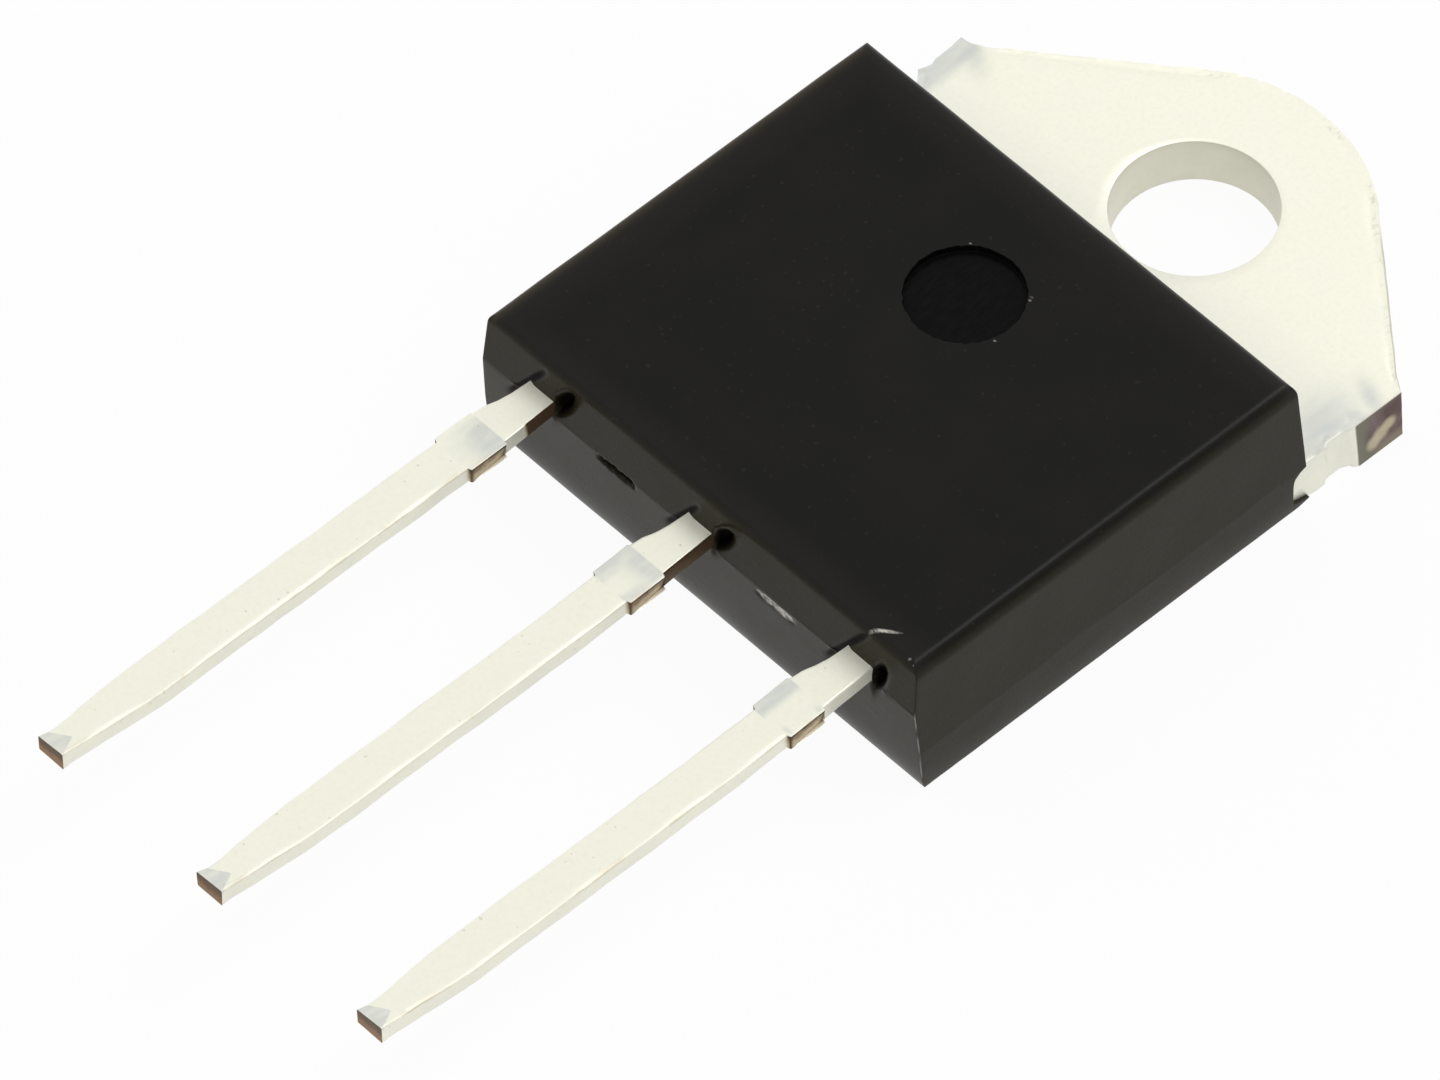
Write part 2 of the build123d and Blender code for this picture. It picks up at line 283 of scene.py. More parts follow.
def body_rows(heights):
    """Level outlines at these heights. A point is its place on the inner rectangle plus the
    corner radius times its facing."""
    height = np.asarray(heights, dtype=float)[:, None]
    to_side, to_end = wall_steepness(height)
    half, front, rear = side_place(height), front_place(height), rear_place(height)
    reach_x = half - inset_x * (1 - to_side) - upright_radius
    reach_y = (rear - front) / 2 - inset_y * (1 - to_end) - upright_radius
    x = place[:, 0] * reach_x + upright_radius * facing[:, 0]
    y = (front + rear) / 2 + place[:, 1] * reach_y + upright_radius * facing[:, 1]
    return np.stack([x, y, np.broadcast_to(height, x.shape)], axis=-1)


torn_height = lead_bottom - 0.12           # middle of the slot and the chip in front
wall_heights = np.concatenate([
    np.linspace(0.07, 0.45, 11),
    np.linspace(0.55, tab_top - 0.07, 8),
    np.linspace(tab_top - 0.03, tab_top + 0.05, 4),
    np.linspace(tab_top + 0.15, lead_bottom - 0.36, 8),
    np.linspace(lead_bottom - 0.32, lead_bottom + 0.9, 42),
    np.linspace(lead_bottom + 0.96, body_top - right_round[1], 4),
    body_top - right_round[1] * (1 - np.sin(np.linspace(0, np.pi / 2, 18)[1:])),
])
walls = body_rows(wall_heights)
wall_x, wall_z = walls[..., 0], walls[..., 2]
in_front = (facing[:, 1] < -0.5).astype(float)
beside = (np.abs(facing[:, 0]) > 0.5).astype(float)
print("rows up the walls", len(walls))

# %% [markdown]
# The walls take the small faults that make moulded epoxy look real: a thin broken flash where
# the tool halves met, a slot where a piece of it was torn out, and a rubbed chip. Each is a
# depth times a window, and later pushes the wall against its facing.

# %% Flash, slot and chip
slot_window, chip_window = (-3.38, -2.27), (2.06, 3.33)    # from left to right
flash = smooth_step(waver(walls, 1.1, 3), -0.3, 0.9)
flash_line = 0.03 * bell(wall_z - lead_bottom, 0.035) * in_front
flash_line = flash_line + 0.012 * bell(wall_z - tab_top, 0.035) * beside
slot_half = np.interp(wall_x, [slot_window[0], -2.9, slot_window[1]], [0.10, 0.12, 0.11])
slot_half = slot_half + 0.02 * waver(walls, 0.2, 7)
slot = between(wall_x, *slot_window, 0.26) * bell(wall_z - torn_height, slot_half, 4) * in_front
chip = between(wall_x, *chip_window, 0.2) * bell(wall_z - torn_height + 0.07, 0.12, 4) * in_front
print("points in the slot", int((slot > 0.5).sum()), "and in the chip", int((chip > 0.5).sum()))

# %% [markdown]
# Beside each lead there is a pocket, where the plug between tool and lead came away, with a
# scratch from the lead's other side to the top edge. The pocket starts just past the side of
# the lead: if it reached under the lead, the lead would seem to bend there.

# %% Pockets and scratches at the leads
#   lead's x, pocket's place to the right and up, half length, half width, slope, scratch rise
pocket_places = [
    (-lead_pitch, 0.75, 3.52, 0.50, 0.19, 1.05, 0.75),
    (0.0, 0.74, 3.36, 0.48, 0.20, 0.95, 0.45),
    (lead_pitch, 0.64, 3.14, 0.44, 0.19, 1.25, 0.95),
]


def soft_oval(x, y, half_size, slope):
    """exp(-r^2), with r the distance from the middle of a slanted oval in half sizes."""
    along = (x * cos(slope) + y * sin(slope)) / half_size[0]
    across = (y * cos(slope) - x * sin(slope)) / half_size[1]
    return np.exp(-(along ** 2 + across ** 2))


def scratch(start, end, width):
    """A groove on the front face that fades at both ends: a bell curve of the distance."""
    offset = np.stack([wall_x - start[0], wall_z - start[1]], axis=-1)
    course = np.array(end) - np.array(start)
    share = np.clip(offset @ course / (course @ course), 0, 1)
    distance = np.linalg.norm(offset - share[..., None] * course, axis=-1)
    return bell(distance, width) * between(share, 0.0, 1.0, 0.35) * in_front


pockets, scratches = np.zeros(wall_x.shape), np.zeros(wall_x.shape)
for lead_x, right, up, half_long, half_short, slope, rise in pocket_places:
    pit = soft_oval(wall_x - lead_x - right, wall_z - up, (half_long, half_short), slope)
    pit = pit * in_front * smooth_step(wall_x - lead_x, 0.49, 0.57)
    line = scratch((lead_x - 1.05, 2.50), (lead_x - 0.36 + 0.61 * rise, 3.42 + 0.9 * rise), 0.10)
    pockets, scratches = np.maximum(pockets, pit), np.maximum(scratches, line)
print("points in the pockets", int((pockets > 0.5).sum()))

# %% [markdown]
# All faults are now added up and push the walls in one go. Two stored numbers keep where they
# are for the finish: *hollow* for torn places, which the finish paints black as shade, and one
# for the upright corners in front, which get a painted highlight. The hem below the walls draws
# in raggedly to the seat, and a few rings close it.

# %% Push the faults in, and close the underside
push = flash * flash_line - 0.3 * slot - 0.035 * chip * (0.6 + 0.5 * waver(walls, 0.16, 8))
push = push - 0.36 * pockets - 0.05 * scratches + 0.004 * waver(walls, 2.4, 5)
walls[..., :2] += push[..., None] * facing
walls[..., 0] = np.clip(walls[..., 0], -body_high[0], body_high[0])
walls[..., 1] = np.maximum(walls[..., 1], body_low[1])
hollow = slot + smooth_step(pockets, 0.02, 0.6) + smooth_step(scratches, 0.05, 0.75)
hollow = np.clip(hollow, 0, 1)
on_corner = (np.abs(facing[:, 0] * facing[:, 1]) > 0.02) * (facing[:, 1] < 0)
# painted highlight along the rounded upright corners in front, between the seat and the leads
corner_highlight = between(wall_z, 0.5, lead_bottom + 0.05, 0.3) * on_corner
corner_highlight = corner_highlight * smooth_step(waver(walls, 0.7, 17), -0.9, 0.6)

seat_height = 0.012            # the moulding stays this far above the metal back
hem_insets, hem_raggedness = np.array([0.045, 0.018, 0.004]), np.array([1.0, 0.7, 0.3])
ragged = 0.008 + 0.012 * smooth_step(waver(body_rows([0.0]), 0.5, 11), 0, 1)[0]
hem = body_rows([seat_height, 0.025, 0.045])
hem_inset = hem_insets[:, None] + hem_raggedness[:, None] * ragged
hem[:, :, :2] -= hem_inset[..., None] * facing
centre = hem[0].mean(axis=0)
under = centre + (hem[:1] - centre) * np.array([0.3, 0.65, 0.9, 0.985])[:, None, None]
print("deepest push", round(float(push.min()), 3), "mm")

# %% [markdown]
# The top face is a flat ring between the last outline and the round mark of the ejector pin:
# each point slides straight to the point of the circle that lies in its own direction from
# the mark's centre. Then the rows drop over the mark's edge and run across its floor to the
# centre, so the mark has a true edge. The floor gets a second material, because the pin
# leaves it polished and much darker.

# %% Top face and ejector mark
mark_centre = np.array([-0.033, -7.433])
mark_radius, mark_depth = 1.485, 0.2


def with_height(places, height):
    """Points from places in the plane and their height."""
    return np.concatenate([places, np.broadcast_to(height, places.shape[:-1] + (1,))], axis=-1)


outer = walls[-1, :, :2]
circle = circle_points(np.arctan2(outer[:, 1] - mark_centre[1], outer[:, 0] - mark_centre[0]))
slide = np.array([0.02, 0.05, 0.1, 0.2, 0.35, 0.5, 0.65, 0.8, 0.9, 0.96, 1.0])[:, None, None]
nick = 0.012 * waver(with_height(mark_radius * circle, 0), 0.25, 21)[:, None]
top_xy = outer * (1 - slide) + (mark_centre + (mark_radius + 0.01 + nick) * circle) * slide
top_face = with_height(top_xy, body_top)
mark_radii = [mark_radius - inset for inset in (0, 0.01, 0.02, 0.35)]
mark_radii = np.array(mark_radii + [mark_radius * 0.5, mark_radius * 0.2])
mark_drops = np.array([0.01, mark_depth - 0.01] + [mark_depth] * 4)
mark_xy = mark_centre + (mark_radii[:, None, None] + nick) * circle
mark = with_height(mark_xy, (body_top - mark_drops)[:, None, None])

body_rings = np.concatenate([under, hem, walls, top_face, mark])
row_material = np.zeros(len(body_rings) - 1, dtype=np.int32)
row_material[-len(mark):] = 1
epoxy_body = ring_mesh("epoxy_body", body_rings, row_material=row_material)

# %% [markdown]
# The finish has to know which points are on a wall and which on the marked face. It reads
# that from numbers stored on the points: *polish* and *upright* follow the steepness of the
# upper rounding, the first early and the second late, and the torn places and the painted
# corner highlight join them.

# %% Numbers stored on the moulding
to_side, to_end = wall_steepness(wall_heights[:, None])
steep = np.where(np.abs(facing[:, 0]) > 0.7, to_side, to_end)
first_wall = len(under) + len(hem)
for name, below, on_walls in (
    ("polish", 1, smooth_step(steep, 0.0, 0.35)), ("upright", 1, steep ** 4),
    ("hollow", 0, hollow), ("painted_corner_highlight", 0, corner_highlight),
):
    values = np.zeros(body_rings.shape[:2])
    values[:first_wall] = below
    values[first_wall:first_wall + len(walls)] = on_walls
    mark_points(epoxy_body, name, values)
    print(name, "mean", round(float(values.mean()), 3))

# %% [markdown]
# ## The tab and header
# This is one copper stamping, plated with nickel. A press cuts its outline and its hole, and
# leaves a rolled edge on one side and a burr on the other. The two tie bars that held it in
# its strip are cut last, so their ends are bare copper, and the cut on the left tore and left
# more of its bar than the one on the right. The outline comes first: a header under the
# moulding, straight flanks that touch the round end, and a different stub on each side.

# %% Outline of the stamping
end_radius = 4.6
end_centre = tab_high[1] - end_radius
flank = radians(38.5)
right_reach, left_reach = tab_high[0], -tab_low[0]
shoulder_y, header_half, header_front = -4.0, 6.5, tab_low[1]
tangent_x = end_radius * sin(flank)
tangent_y = end_centre + end_radius * cos(flank)


def flank_y(x):
    """Where the straight flank is at this distance from the middle."""
    return tangent_y - (x - tangent_x) * np.tan(flank)


def walk(corners, spacing):
    """Points along the straight lines between corners, at about this spacing."""
    corners = np.asarray(corners, dtype=float)
    runs = []
    for start, end in zip(corners[:-1], corners[1:]):
        count = max(2, int(round(np.linalg.norm(end - start) / spacing)))
        runs.append(start + (end - start) * np.linspace(0, 1, count, endpoint=False)[:, None])
    return np.concatenate(runs)


header_corners = [(0, header_front), (header_half, header_front), (header_half, shoulder_y - 0.02)]
side_corners = [(7.50, shoulder_y), (7.50, -2.80), (7.41, -2.68)]
right_corners = side_corners + [
    (7.40, -2.25), (right_reach, -1.83), (right_reach, -0.42), (7.0, flank_y(7.0)),
]
left_corners = side_corners + [
    (7.41, -2.30), (7.55, -2.02), (7.72, -1.80), (7.66, -1.58), (7.62, -1.46), (7.68, -1.28),
    (7.70, -0.80), (left_reach, -0.37), (7.43, -0.30), (7.09, flank_y(7.09)),
]
quarter_arc = end_radius * circle_points(np.linspace(np.pi / 2 - flank, np.pi / 2, 60))
quarter_arc = quarter_arc + [0, end_centre]


def half_outline(corners):
    """Header, shoulder, side, stub, flank and half of the round end, for positive x."""
    return np.concatenate([
        walk(header_corners, 0.4), walk([header_corners[-1], corners[0]], 0.25),
        walk(corners, 0.06), walk([corners[-1], (tangent_x, tangent_y)], 0.09), quarter_arc,
    ])


left_half = half_outline(left_corners)[1:-1][::-1] * np.array([-1, 1])
outline = np.concatenate([half_outline(right_corners), left_half])
print("points round the tab", len(outline))

# %% [markdown]
# An extruded outline would show no wear. Here the section is carried round the hole: up the
# outer wall, over the top face, down the hole and back under, and each of these takes its own
# small unevenness. The facing of each outline point is the line to its neighbours turned by
# 90 degrees, and the wavy sides are moves along it. Two steps are too large for that, as
# points moved that far round a corner would cross each other: the header's lower rim is a
# scaled header instead, and the leaning cut of the right tie bar is the outline clipped at a
# limit.

# %% Outer wall of the stamping
rim_height, rim_step = 0.6, 0.5    # the header's lower rim stands back
right_lean = 0.14                  # how far the top of the right cut stands back
sheared_wave, edge_wave, stub_wave = 0.02, 0.008, 0.012
sheared_flare = 0.06               # how far the sheared sides draw in at the seat
swell = ([0.3, 2.5, 4.5, 7.1], [0, 0.06, 0.06, 0])     # the fuller right of the round end

tangents = np.roll(outline, -1, axis=0) - np.roll(outline, 1, axis=0)
tangents /= np.linalg.norm(tangents, axis=1, keepdims=True)
outward = np.stack([tangents[:, 1], -tangents[:, 0]], axis=-1)
out_x, out_y = outline.T
on_right_stub = between(out_y, -1.85, -0.30, 0.04) * (out_x > 7.42)
on_left_stub = between(out_y, -1.83, -0.36, 0.04) * (out_x < -7.58)
on_stub = on_right_stub + on_left_stub
on_side = between(out_y, shoulder_y - 0.1, -2.0, 0.1) * (np.abs(out_x) > header_half + 0.1)
on_header = (out_y < shoulder_y + 0.01).astype(float)
on_edge = (1 - on_header) * (1 - on_stub)
flat_outline = with_height(outline, 0)


def tab_outline(height, inset):
    """The outline at one height of the outer wall: drawn in by inset, by the wavers of the
    sheared sides and of the edge, and by a square law of the height at the sides."""
    level = flat_outline + np.array([0, 0, height])
    move = -inset - sheared_wave * on_side * (1 - waver(level, 0.8, 31))
    move = move - edge_wave * on_edge * (1 + waver(level, 0.6, 32))
    move = move - sheared_flare * on_side * (1 - height / tab_top) ** 2
    move = move + stub_wave * on_left_stub * waver(level, 0.35, 33)
    move = move + on_edge * np.interp(level[:, 0], *swell)
    level[:, :2] += move[:, None] * outward
    if height < rim_height:
        x, y = level[:, 0], level[:, 1]
        narrow = np.interp(np.abs(x), [0, header_half, 7.5], [0, header_half - rim_step, 7.5])
        shorter = np.interp(y, [header_front, shoulder_y], [header_front + rim_step, shoulder_y])
        drawn_in = np.stack([narrow * np.sign(x), shorter], axis=-1)
        level[:, :2] = np.where(on_header[:, None] > 0, drawn_in, level[:, :2])
    limit = right_reach - right_lean * height / tab_top
    level[:, 0] = np.clip(level[:, 0], -left_reach, limit)
    level[:, 1] = np.clip(level[:, 1], header_front, tab_high[1])
    return level


wall_levels = [0.0, 0.05, 0.2, 0.4, rim_height - 0.01, rim_height + 0.01]
wall_levels = wall_levels + [0.8, 1.0, 1.15, 1.3, tab_top - 0.05]
outer_wall = np.stack([tab_outline(h, 0.05 if h == 0 else 0) for h in wall_levels])
print("outer wall", outer_wall.shape)

# %% [markdown]
# On the top face the rows walk straight towards the hole, close together near the edge, where
# the burr stands up and the rolled band dips, and evenly after that. The hole has its own
# bearings, taken from the same points, so the rows meet without a seam.

# %% Top face, hole and back, and the whole stamping
burr = smooth_step(waver(flat_outline, 0.40, 41), 0.2, 1.0)
lip = 0.022 * burr * on_edge + 0.006 * on_stub - 0.012 * on_side
rolled = 0.02 * smooth_step(waver(flat_outline, 1.6, 43), -1, 1) * on_edge
edge = tab_outline(tab_top, 0.012)
edge[:, 2] += lip
reach = np.linalg.norm(edge[:, :2], axis=1)
inward = -edge[:, :2] / reach[:, None]
near = np.array([0.03, 0.06, 0.10, 0.14, 0.19, 0.25, 0.32, 0.40, 0.50, 0.62])[:, None]
near_z = tab_top + lip * bell(near, 0.04) - rolled * bell(near - 0.2, 0.09)
near_rows = with_height(edge[:, :2] + inward * near[..., None], near_z[..., None])
share = np.linspace(0, 1, 24)[1:-1, None] ** 1.1
far = near[-1] + share * (reach - hole_radius - near[-1] - 0.06)
far_rows = with_height(edge[:, :2] + inward * far[..., None], tab_top)

hole_circle = circle_points(np.arctan2(outline[:, 1], outline[:, 0]))
hole_steps = np.array([
    [0.035, tab_top], [0.012, tab_top - 0.012], [0, tab_top - 0.05], [0, 1.1], [0, 0.7], [0, 0.35],
    [0.0, 0.05], [0.015, 0.012], [0.04, 0.0],
])[:, :, None, None]
hole_rows = with_height((hole_radius + hole_steps[:, 0]) * hole_circle, hole_steps[:, 1])
spread = np.linspace(0, 1, 10)[1:-1, None, None]
back_rows = hole_rows[-1:] + (outer_wall[:1] - hole_rows[-1:]) * spread
tab_rings = np.concatenate([outer_wall, edge[None], near_rows, far_rows, hole_rows, back_rows])
plated_tab = ring_mesh("plated_tab", tab_rings, tyre=True)

# %% [markdown]
# Four numbers per point tell the finish what happened where: one is 1 on the cut ends of
# the tie bars, *rim* is 1 in a narrow band inside the upper edge, where it is darker in
# broken runs, *bored* is 1 in the hole, and one is 1 where the cutting tool slid over the plating.

# %% Where the tab is cut, rubbed and darker along the burr
bare_and_shade, rim, bored = np.zeros((3,) + tab_rings.shape[:2])
edge_row = len(outer_wall)
bare_and_shade[:edge_row] = on_stub
bare_and_shade[edge_row:edge_row + 2] += 0.4 * on_edge * between(out_y, -0.4, 2.6, 0.8) * (out_x > 0)
run_strength = np.where(out_x > 0, np.interp(out_y, [-1.0, 0.4, 1.4, 4.0], [0.7, 1.0, 0.9, 0.8]), 0.5)
rim[edge_row] = 0.3
rim[edge_row + 1:edge_row + 1 + len(near)] = bell(near - 0.12, 0.08)
hole_row = edge_row + 1 + len(near_rows) + len(far_rows)
bored[hole_row + 1:hole_row + len(hole_rows) - 1] = 1

ring_x, ring_y, ring_z = np.moveaxis(tab_rings, -1, 0)
rubbed_and_reflected = (1 - smooth_step(ring_x + left_reach, 0.48, 0.85)) * between(ring_y, -2.2, -0.25, 0.25)
for strength, x, y, half_long, half_short, slope in (
    (0.75, -7.15, -0.55, 0.75, 0.35, -0.5), (0.9, 7.0, -2.4, 0.85, 1.2, 0.3),
    (0.95, 7.08, -0.98, 0.65, 0.28, -0.35), (0.8, 7.2, -1.65, 0.7, 0.25, 0.3),
):
    oval = soft_oval(ring_x - x, ring_y - y, (half_long, half_short), slope) ** 1.4
    rubbed_and_reflected = np.maximum(rubbed_and_reflected, strength * oval)
rubbed_and_reflected = rubbed_and_reflected * (ring_z > tab_top - 0.03)
for name, values in (("bare_and_shade", bare_and_shade), ("rim", rim * on_edge * run_strength), ("bored", bored), ("rubbed_and_reflected", rubbed_and_reflected)):
    mark_points(plated_tab, name, values)
print("rubbed share of the tab", round(float(rubbed_and_reflected.mean()), 3))

# %% [markdown]
# ## The leads
# The leads are stamped from tinned copper strip. The punch rounds the upper edge on the right,
# the cut of the dam bar leaves a stub on each side with bare faces and a crease across the
# top, and the last cut pulls the tip down and bends it a little. A lead is a rounded rectangle
# carried from its tip to its end inside the moulding. Its sides, its top and its lean are
# functions of the distance along it, so each wear mark sits where the tool made it.

# %% Section and course of a lead
section_place, section_facing = rounded_ring(square * [1, -1], (30, 9) * 2, 90, -1, 4)
root_half, stem_half = 0.41, 0.56
dam_front, crease = -18.88, -17.70     # front and rear of the dam bar's stubs
cut_step = 0.03                # length of the step at each end of the dam bar's stub
edge_radius = 0.05
inner_start = -15.33           # from here a lead is inside the moulding


def course(from_tip, behind):
    """Half widths along a lead: those measured from the tip, and those behind them."""
    return np.concatenate([np.array(from_tip) + [lead_tip, 0], behind])


left_course = course([
    (0.0, 0.50), (0.15, 0.455), (0.3, 0.42), (0.6, 0.415), (0.9, 0.43), (1.2, 0.47), (1.5, 0.48),
    (1.9, 0.515), (2.3, 0.53), (2.9, 0.555), (3.5, stem_half),
], [
    (dam_front, stem_half), (dam_front + cut_step, 0.67), (crease - cut_step, 0.68), (crease, 0.62),
    (-17.3, 0.58), (-17.0, 0.49), (-16.6, 0.43), (-16.1, 0.40), (inner_start, root_half),
])
right_course = course([
    (0.0, 0.375), (0.3, 0.37), (0.7, 0.40), (1.2, 0.435), (1.5, 0.465), (1.9, 0.50), (2.3, 0.53),
    (2.9, stem_half),
], [
    (dam_front, stem_half), (dam_front + cut_step, 0.67), (crease - cut_step, 0.67), (crease, 0.565),
    (-16.1, 0.50), (-15.6, 0.50), (-15.4, root_half), (inner_start, root_half),
])
outside_stations = np.concatenate([
    np.linspace(lead_tip, lead_tip + 0.9, 36),
    np.linspace(lead_tip + 1.0, lead_tip + 2.5, 14),
    np.linspace(lead_tip + 2.7, dam_front - 0.3, 62),
    np.linspace(dam_front - 0.2, dam_front + 0.12, 14),
    np.linspace(dam_front + 0.16, crease - 0.14, 24),
    np.linspace(crease - 0.10, crease + 0.06, 9),
    np.linspace(crease + 0.12, -16.0, 26),
    np.linspace(-15.9, -15.36, 5),
])
print("points round a lead", len(section_place), "stations along it", len(outside_stations))

# %% [markdown]
# The facet at the tip is the part of the top in front of the line that the blade pressed in.
# All other marks are pushes at the points of the section, each with its own window along the
# lead: hammering on the flat faces, the broken lower part of the stub's cuts, the edge that
# the punch rounded, and the tip's right corner, which the last cut pulled up.

# %% Rings of one lead
facet_across = [-0.50, -0.40, 0.08, 0.32, 0.45]
facet_length = [0.22, 0.25, 0.56, 0.10, 0.0]
cut_slope, hammer_depth, punch_round, tip_rise = 0.13, 0.010, 0.04, 0.07


def lead_rows(centre, stations, left_inner, right_inner, drop, lean, seed):
    """Rings of one lead, and what each point is marked with.

    The sides are the centre plus or minus the half widths of the two courses, and lean moves
    the free end sideways. Inside the moulding the sides follow left_inner and right_inner,
    and the whole section sinks by drop. A point is the place in the section's inner rectangle
    plus the edge radius times its facing. The top sinks by a square law near the right edge.
    """
    y = stations[:, None]
    middle_x = centre + lean * smooth_step(-y, 17.0, 21.0)
    right = middle_x + np.interp(y, *right_course.T)
    left = middle_x - np.interp(y, *left_course.T)
    right = np.where(y > inner_start, np.interp(y, *right_inner), right)
    left = np.where(y > inner_start, np.interp(y, *left_inner), left)
    low = lead_bottom - np.interp(y, *drop)
    high = low + (lead_top - lead_bottom)
    across, up = section_place.T
    face_x, face_z = section_facing.T
    x = (left + right) / 2 + across * ((right - left) / 2 - edge_radius) + edge_radius * face_x
    z = (low + high) / 2 + up * ((high - low) / 2 - edge_radius) + edge_radius * face_z
    rows = np.stack([x, np.broadcast_to(y, x.shape), z], axis=-1)
    visible = (y < -16.0).astype(float)
    depth = np.clip((high - z) / (high - low), 0, 1)
    cut = between(y, dam_front, crease, 0.02) * (np.abs(face_x) > 0.7)
    broken = np.clip((y - dam_front) / (crease - dam_front), 0, 1)
    rows[..., 0] -= cut * (0.01 + cut_slope * depth * broken) * np.sign(face_x)
    hammer = hammer_depth * waver(rows, 1.3, seed) * visible
    rows[..., 0] += hammer * face_x * (1 - cut)
    facing_up = face_z > 0.2
    rows[..., 2] += 0.5 * hammer * face_z - 0.005 * visible * np.abs(face_z)
    to_right = np.clip(1 - (right - x) / 0.15, 0, 1) * (y < crease)
    worn = smooth_step(waver(rows * [0, 1, 0], 2.2, seed + 5), -0.6, 0.8) * (y > lead_tip + 0.8)
    worn = worn * (1 - 0.7 * between(y, dam_front, crease, 0.1))
    rows[..., 2] -= punch_round * worn * to_right ** 2 * facing_up
    facet_line = lead_tip + np.interp(x - middle_x, facet_across, facet_length)
    facet = np.clip(facet_line - y, 0, None) * facing_up
    pulled_up = bell(y - lead_tip, 0.3) * np.clip((x - middle_x + 0.50) / 0.87, 0, 1)
    rows[..., 2] += tip_rise * pulled_up * facing_up
    return rows, cut, (x - left) / (right - left), facet > 0.004, to_right * facing_up


print("the facet reaches", max(facet_length), "mm back from the tip")

# %% [markdown]
# Where the tool slid over the tin is different on each lead, so each has a rule of its own. A
# rule takes the share of the way across the lead, 0 at its left edge, and the distance along.

# %% Rubbed fields of the three leads


def rub_terminal_1(share, y):
    """Grey over the right of the dam bar, fading forwards from the crease."""
    fading = bell(crease - y, 0.75)
    return np.minimum(1.5 * smooth_step(share, 0.02, 0.35) * fading * (0.65 + 0.35 * share), 1)


def rub_terminal_2(share, y):
    """Grey along the crease, and down both edges over the whole length of the dam bar."""
    edges = np.maximum(1 - smooth_step(share, 0.16, 0.42), 0.8 * smooth_step(share, 0.66, 0.9))
    return np.maximum(np.minimum(1.4 * bell(crease - y, 0.5), 1), edges)


def rub_gate(share, y):
    """A grey strip along the left edge, and two small spots at the right."""
    strip = 1 - smooth_step(share, 0.24, 0.42)
    spot = 0.8 * bell(share - 0.9, 0.08) * bell(y - crease + 0.12, 0.1)
    other = 0.9 * bell(share - 0.85, 0.1) * bell(y - dam_front - 0.1, 0.06)
    return np.max([strip, spot, other], axis=0)


for rule in (rub_terminal_1, rub_terminal_2, rub_gate):
    print("grey in the middle of the crease", round(float(rule(0.5, crease)), 2))

# %% [markdown]
# Each lead keeps the marks of its own cut: one stored number is where the tin was cut away,
# and above 1 it paints shade that makes the cut dark; another is where the tool slid over the
# tin, and near the moulding it also paints a reflection of the moulding; *end* is the cut tip,
# and *edge* runs along the rounded upper edge. The tip is closed with a flat cut face, made of
# the first ring drawn in.

# %% Mesh and marks of a lead
# strength of the painted reflection of the moulding on the roots' tops
root_reflection = 0.12


def make_lead(name, centre, inner_end, sides, drop, lean, rub, flank_cut_and_shade, seed):
    """One lead: its rings, its cut tip, and its marks.

    Its right-flank course gives how bare the root's right side is at these distances along it; above 1 it
    adds painted shade.
    """
    stations = np.concatenate([outside_stations, inner_end])
    rows, cut, share, facet, to_right = lead_rows(centre, stations, *sides, drop, lean, seed)
    y = stations[:, None]
    # above 1 the number paints shade: at the stubs' ends, and on the root's right flank through its course
    bare_and_shade = cut * (1 + bell(y - dam_front, 0.07) + 0.9 * bell(y - crease, 0.13))
    bare_and_shade = bare_and_shade + np.interp(y, *flank_cut_and_shade) * (section_facing[:, 0] > 0.5)
    rubbed_and_reflected = rub(share, y) * between(y, dam_front - 0.05, crease, 0.02)
    # painted reflection of the black moulding: the root's top greys towards it
    root = root_reflection * smooth_step(y, -17.1, -16.3) * between(y, -17.2, -15.9, 0.05)
    rubbed_and_reflected = np.where(section_facing[:, 1] > 0.2, np.maximum(rubbed_and_reflected, root), 0)
    rubbed_and_reflected = np.maximum(rubbed_and_reflected, facet)
    middle = rows[0].mean(axis=0)
    cap = middle + (rows[:1] - middle) * np.array([0.35, 0.75, 0.93, 0.99])[:, None, None]
    piece = ring_mesh(name, np.concatenate([cap, rows]))
    for mark, on_cap, along in (
        ("bare_and_shade", 1.0, bare_and_shade), ("end", 1.0, 0 * bare_and_shade), ("rubbed_and_reflected", 0.0, rubbed_and_reflected),
        ("edge", 0.0, to_right * (y < -15.9)),
    ):
        mark_points(piece, mark, np.concatenate([np.full(cap.shape[:2], on_cap), along]))
    print(name, "bare share", round(float(bare_and_shade.mean()), 3))
    return piece


# %% [markdown]
# Inside the moulding the outer leads widen to bond pads. The middle one steps down and widens
# again to the pad that carries the die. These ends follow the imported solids, so that the part
# is still right when it is cut open, and they are plain, as nobody sees their surface.

# %% Inner ends and the three leads
pad_front, pad_rear, pad_edge = -15.3, gate_high[1], gate_low[0]
widened = pad_front + 0.02
outer_inner = [pad_front, widened, pad_rear - 0.02, pad_rear]
pad_places = [pad_front, widened, pad_rear]
wide_side = [lead_pitch + root_half, gate_high[0], gate_high[0]]
near_side = [lead_pitch - root_half, pad_edge, pad_edge]
gate_sides = ((pad_places, near_side), (pad_places, wide_side))
terminal_sides = ((pad_places, [-x for x in wide_side]), (pad_places, [-x for x in near_side]))

shoulder_half = 1.4
die_pad_front, die_pad_rear = -13.5, pad_high[1]
middle_places = [pad_front, widened, die_pad_front - 0.02, die_pad_front, die_pad_rear]
middle_half = [root_half, shoulder_half, shoulder_half, pad_high[0], pad_high[0]]
middle_sides = ((middle_places, [-x for x in middle_half]), (middle_places, middle_half))
middle_end = np.concatenate([
    [pad_front, widened], np.linspace(-14.8, -13.7, 12), [die_pad_front - 0.02, die_pad_front],
    np.linspace(-13.2, die_pad_rear, 6),
])

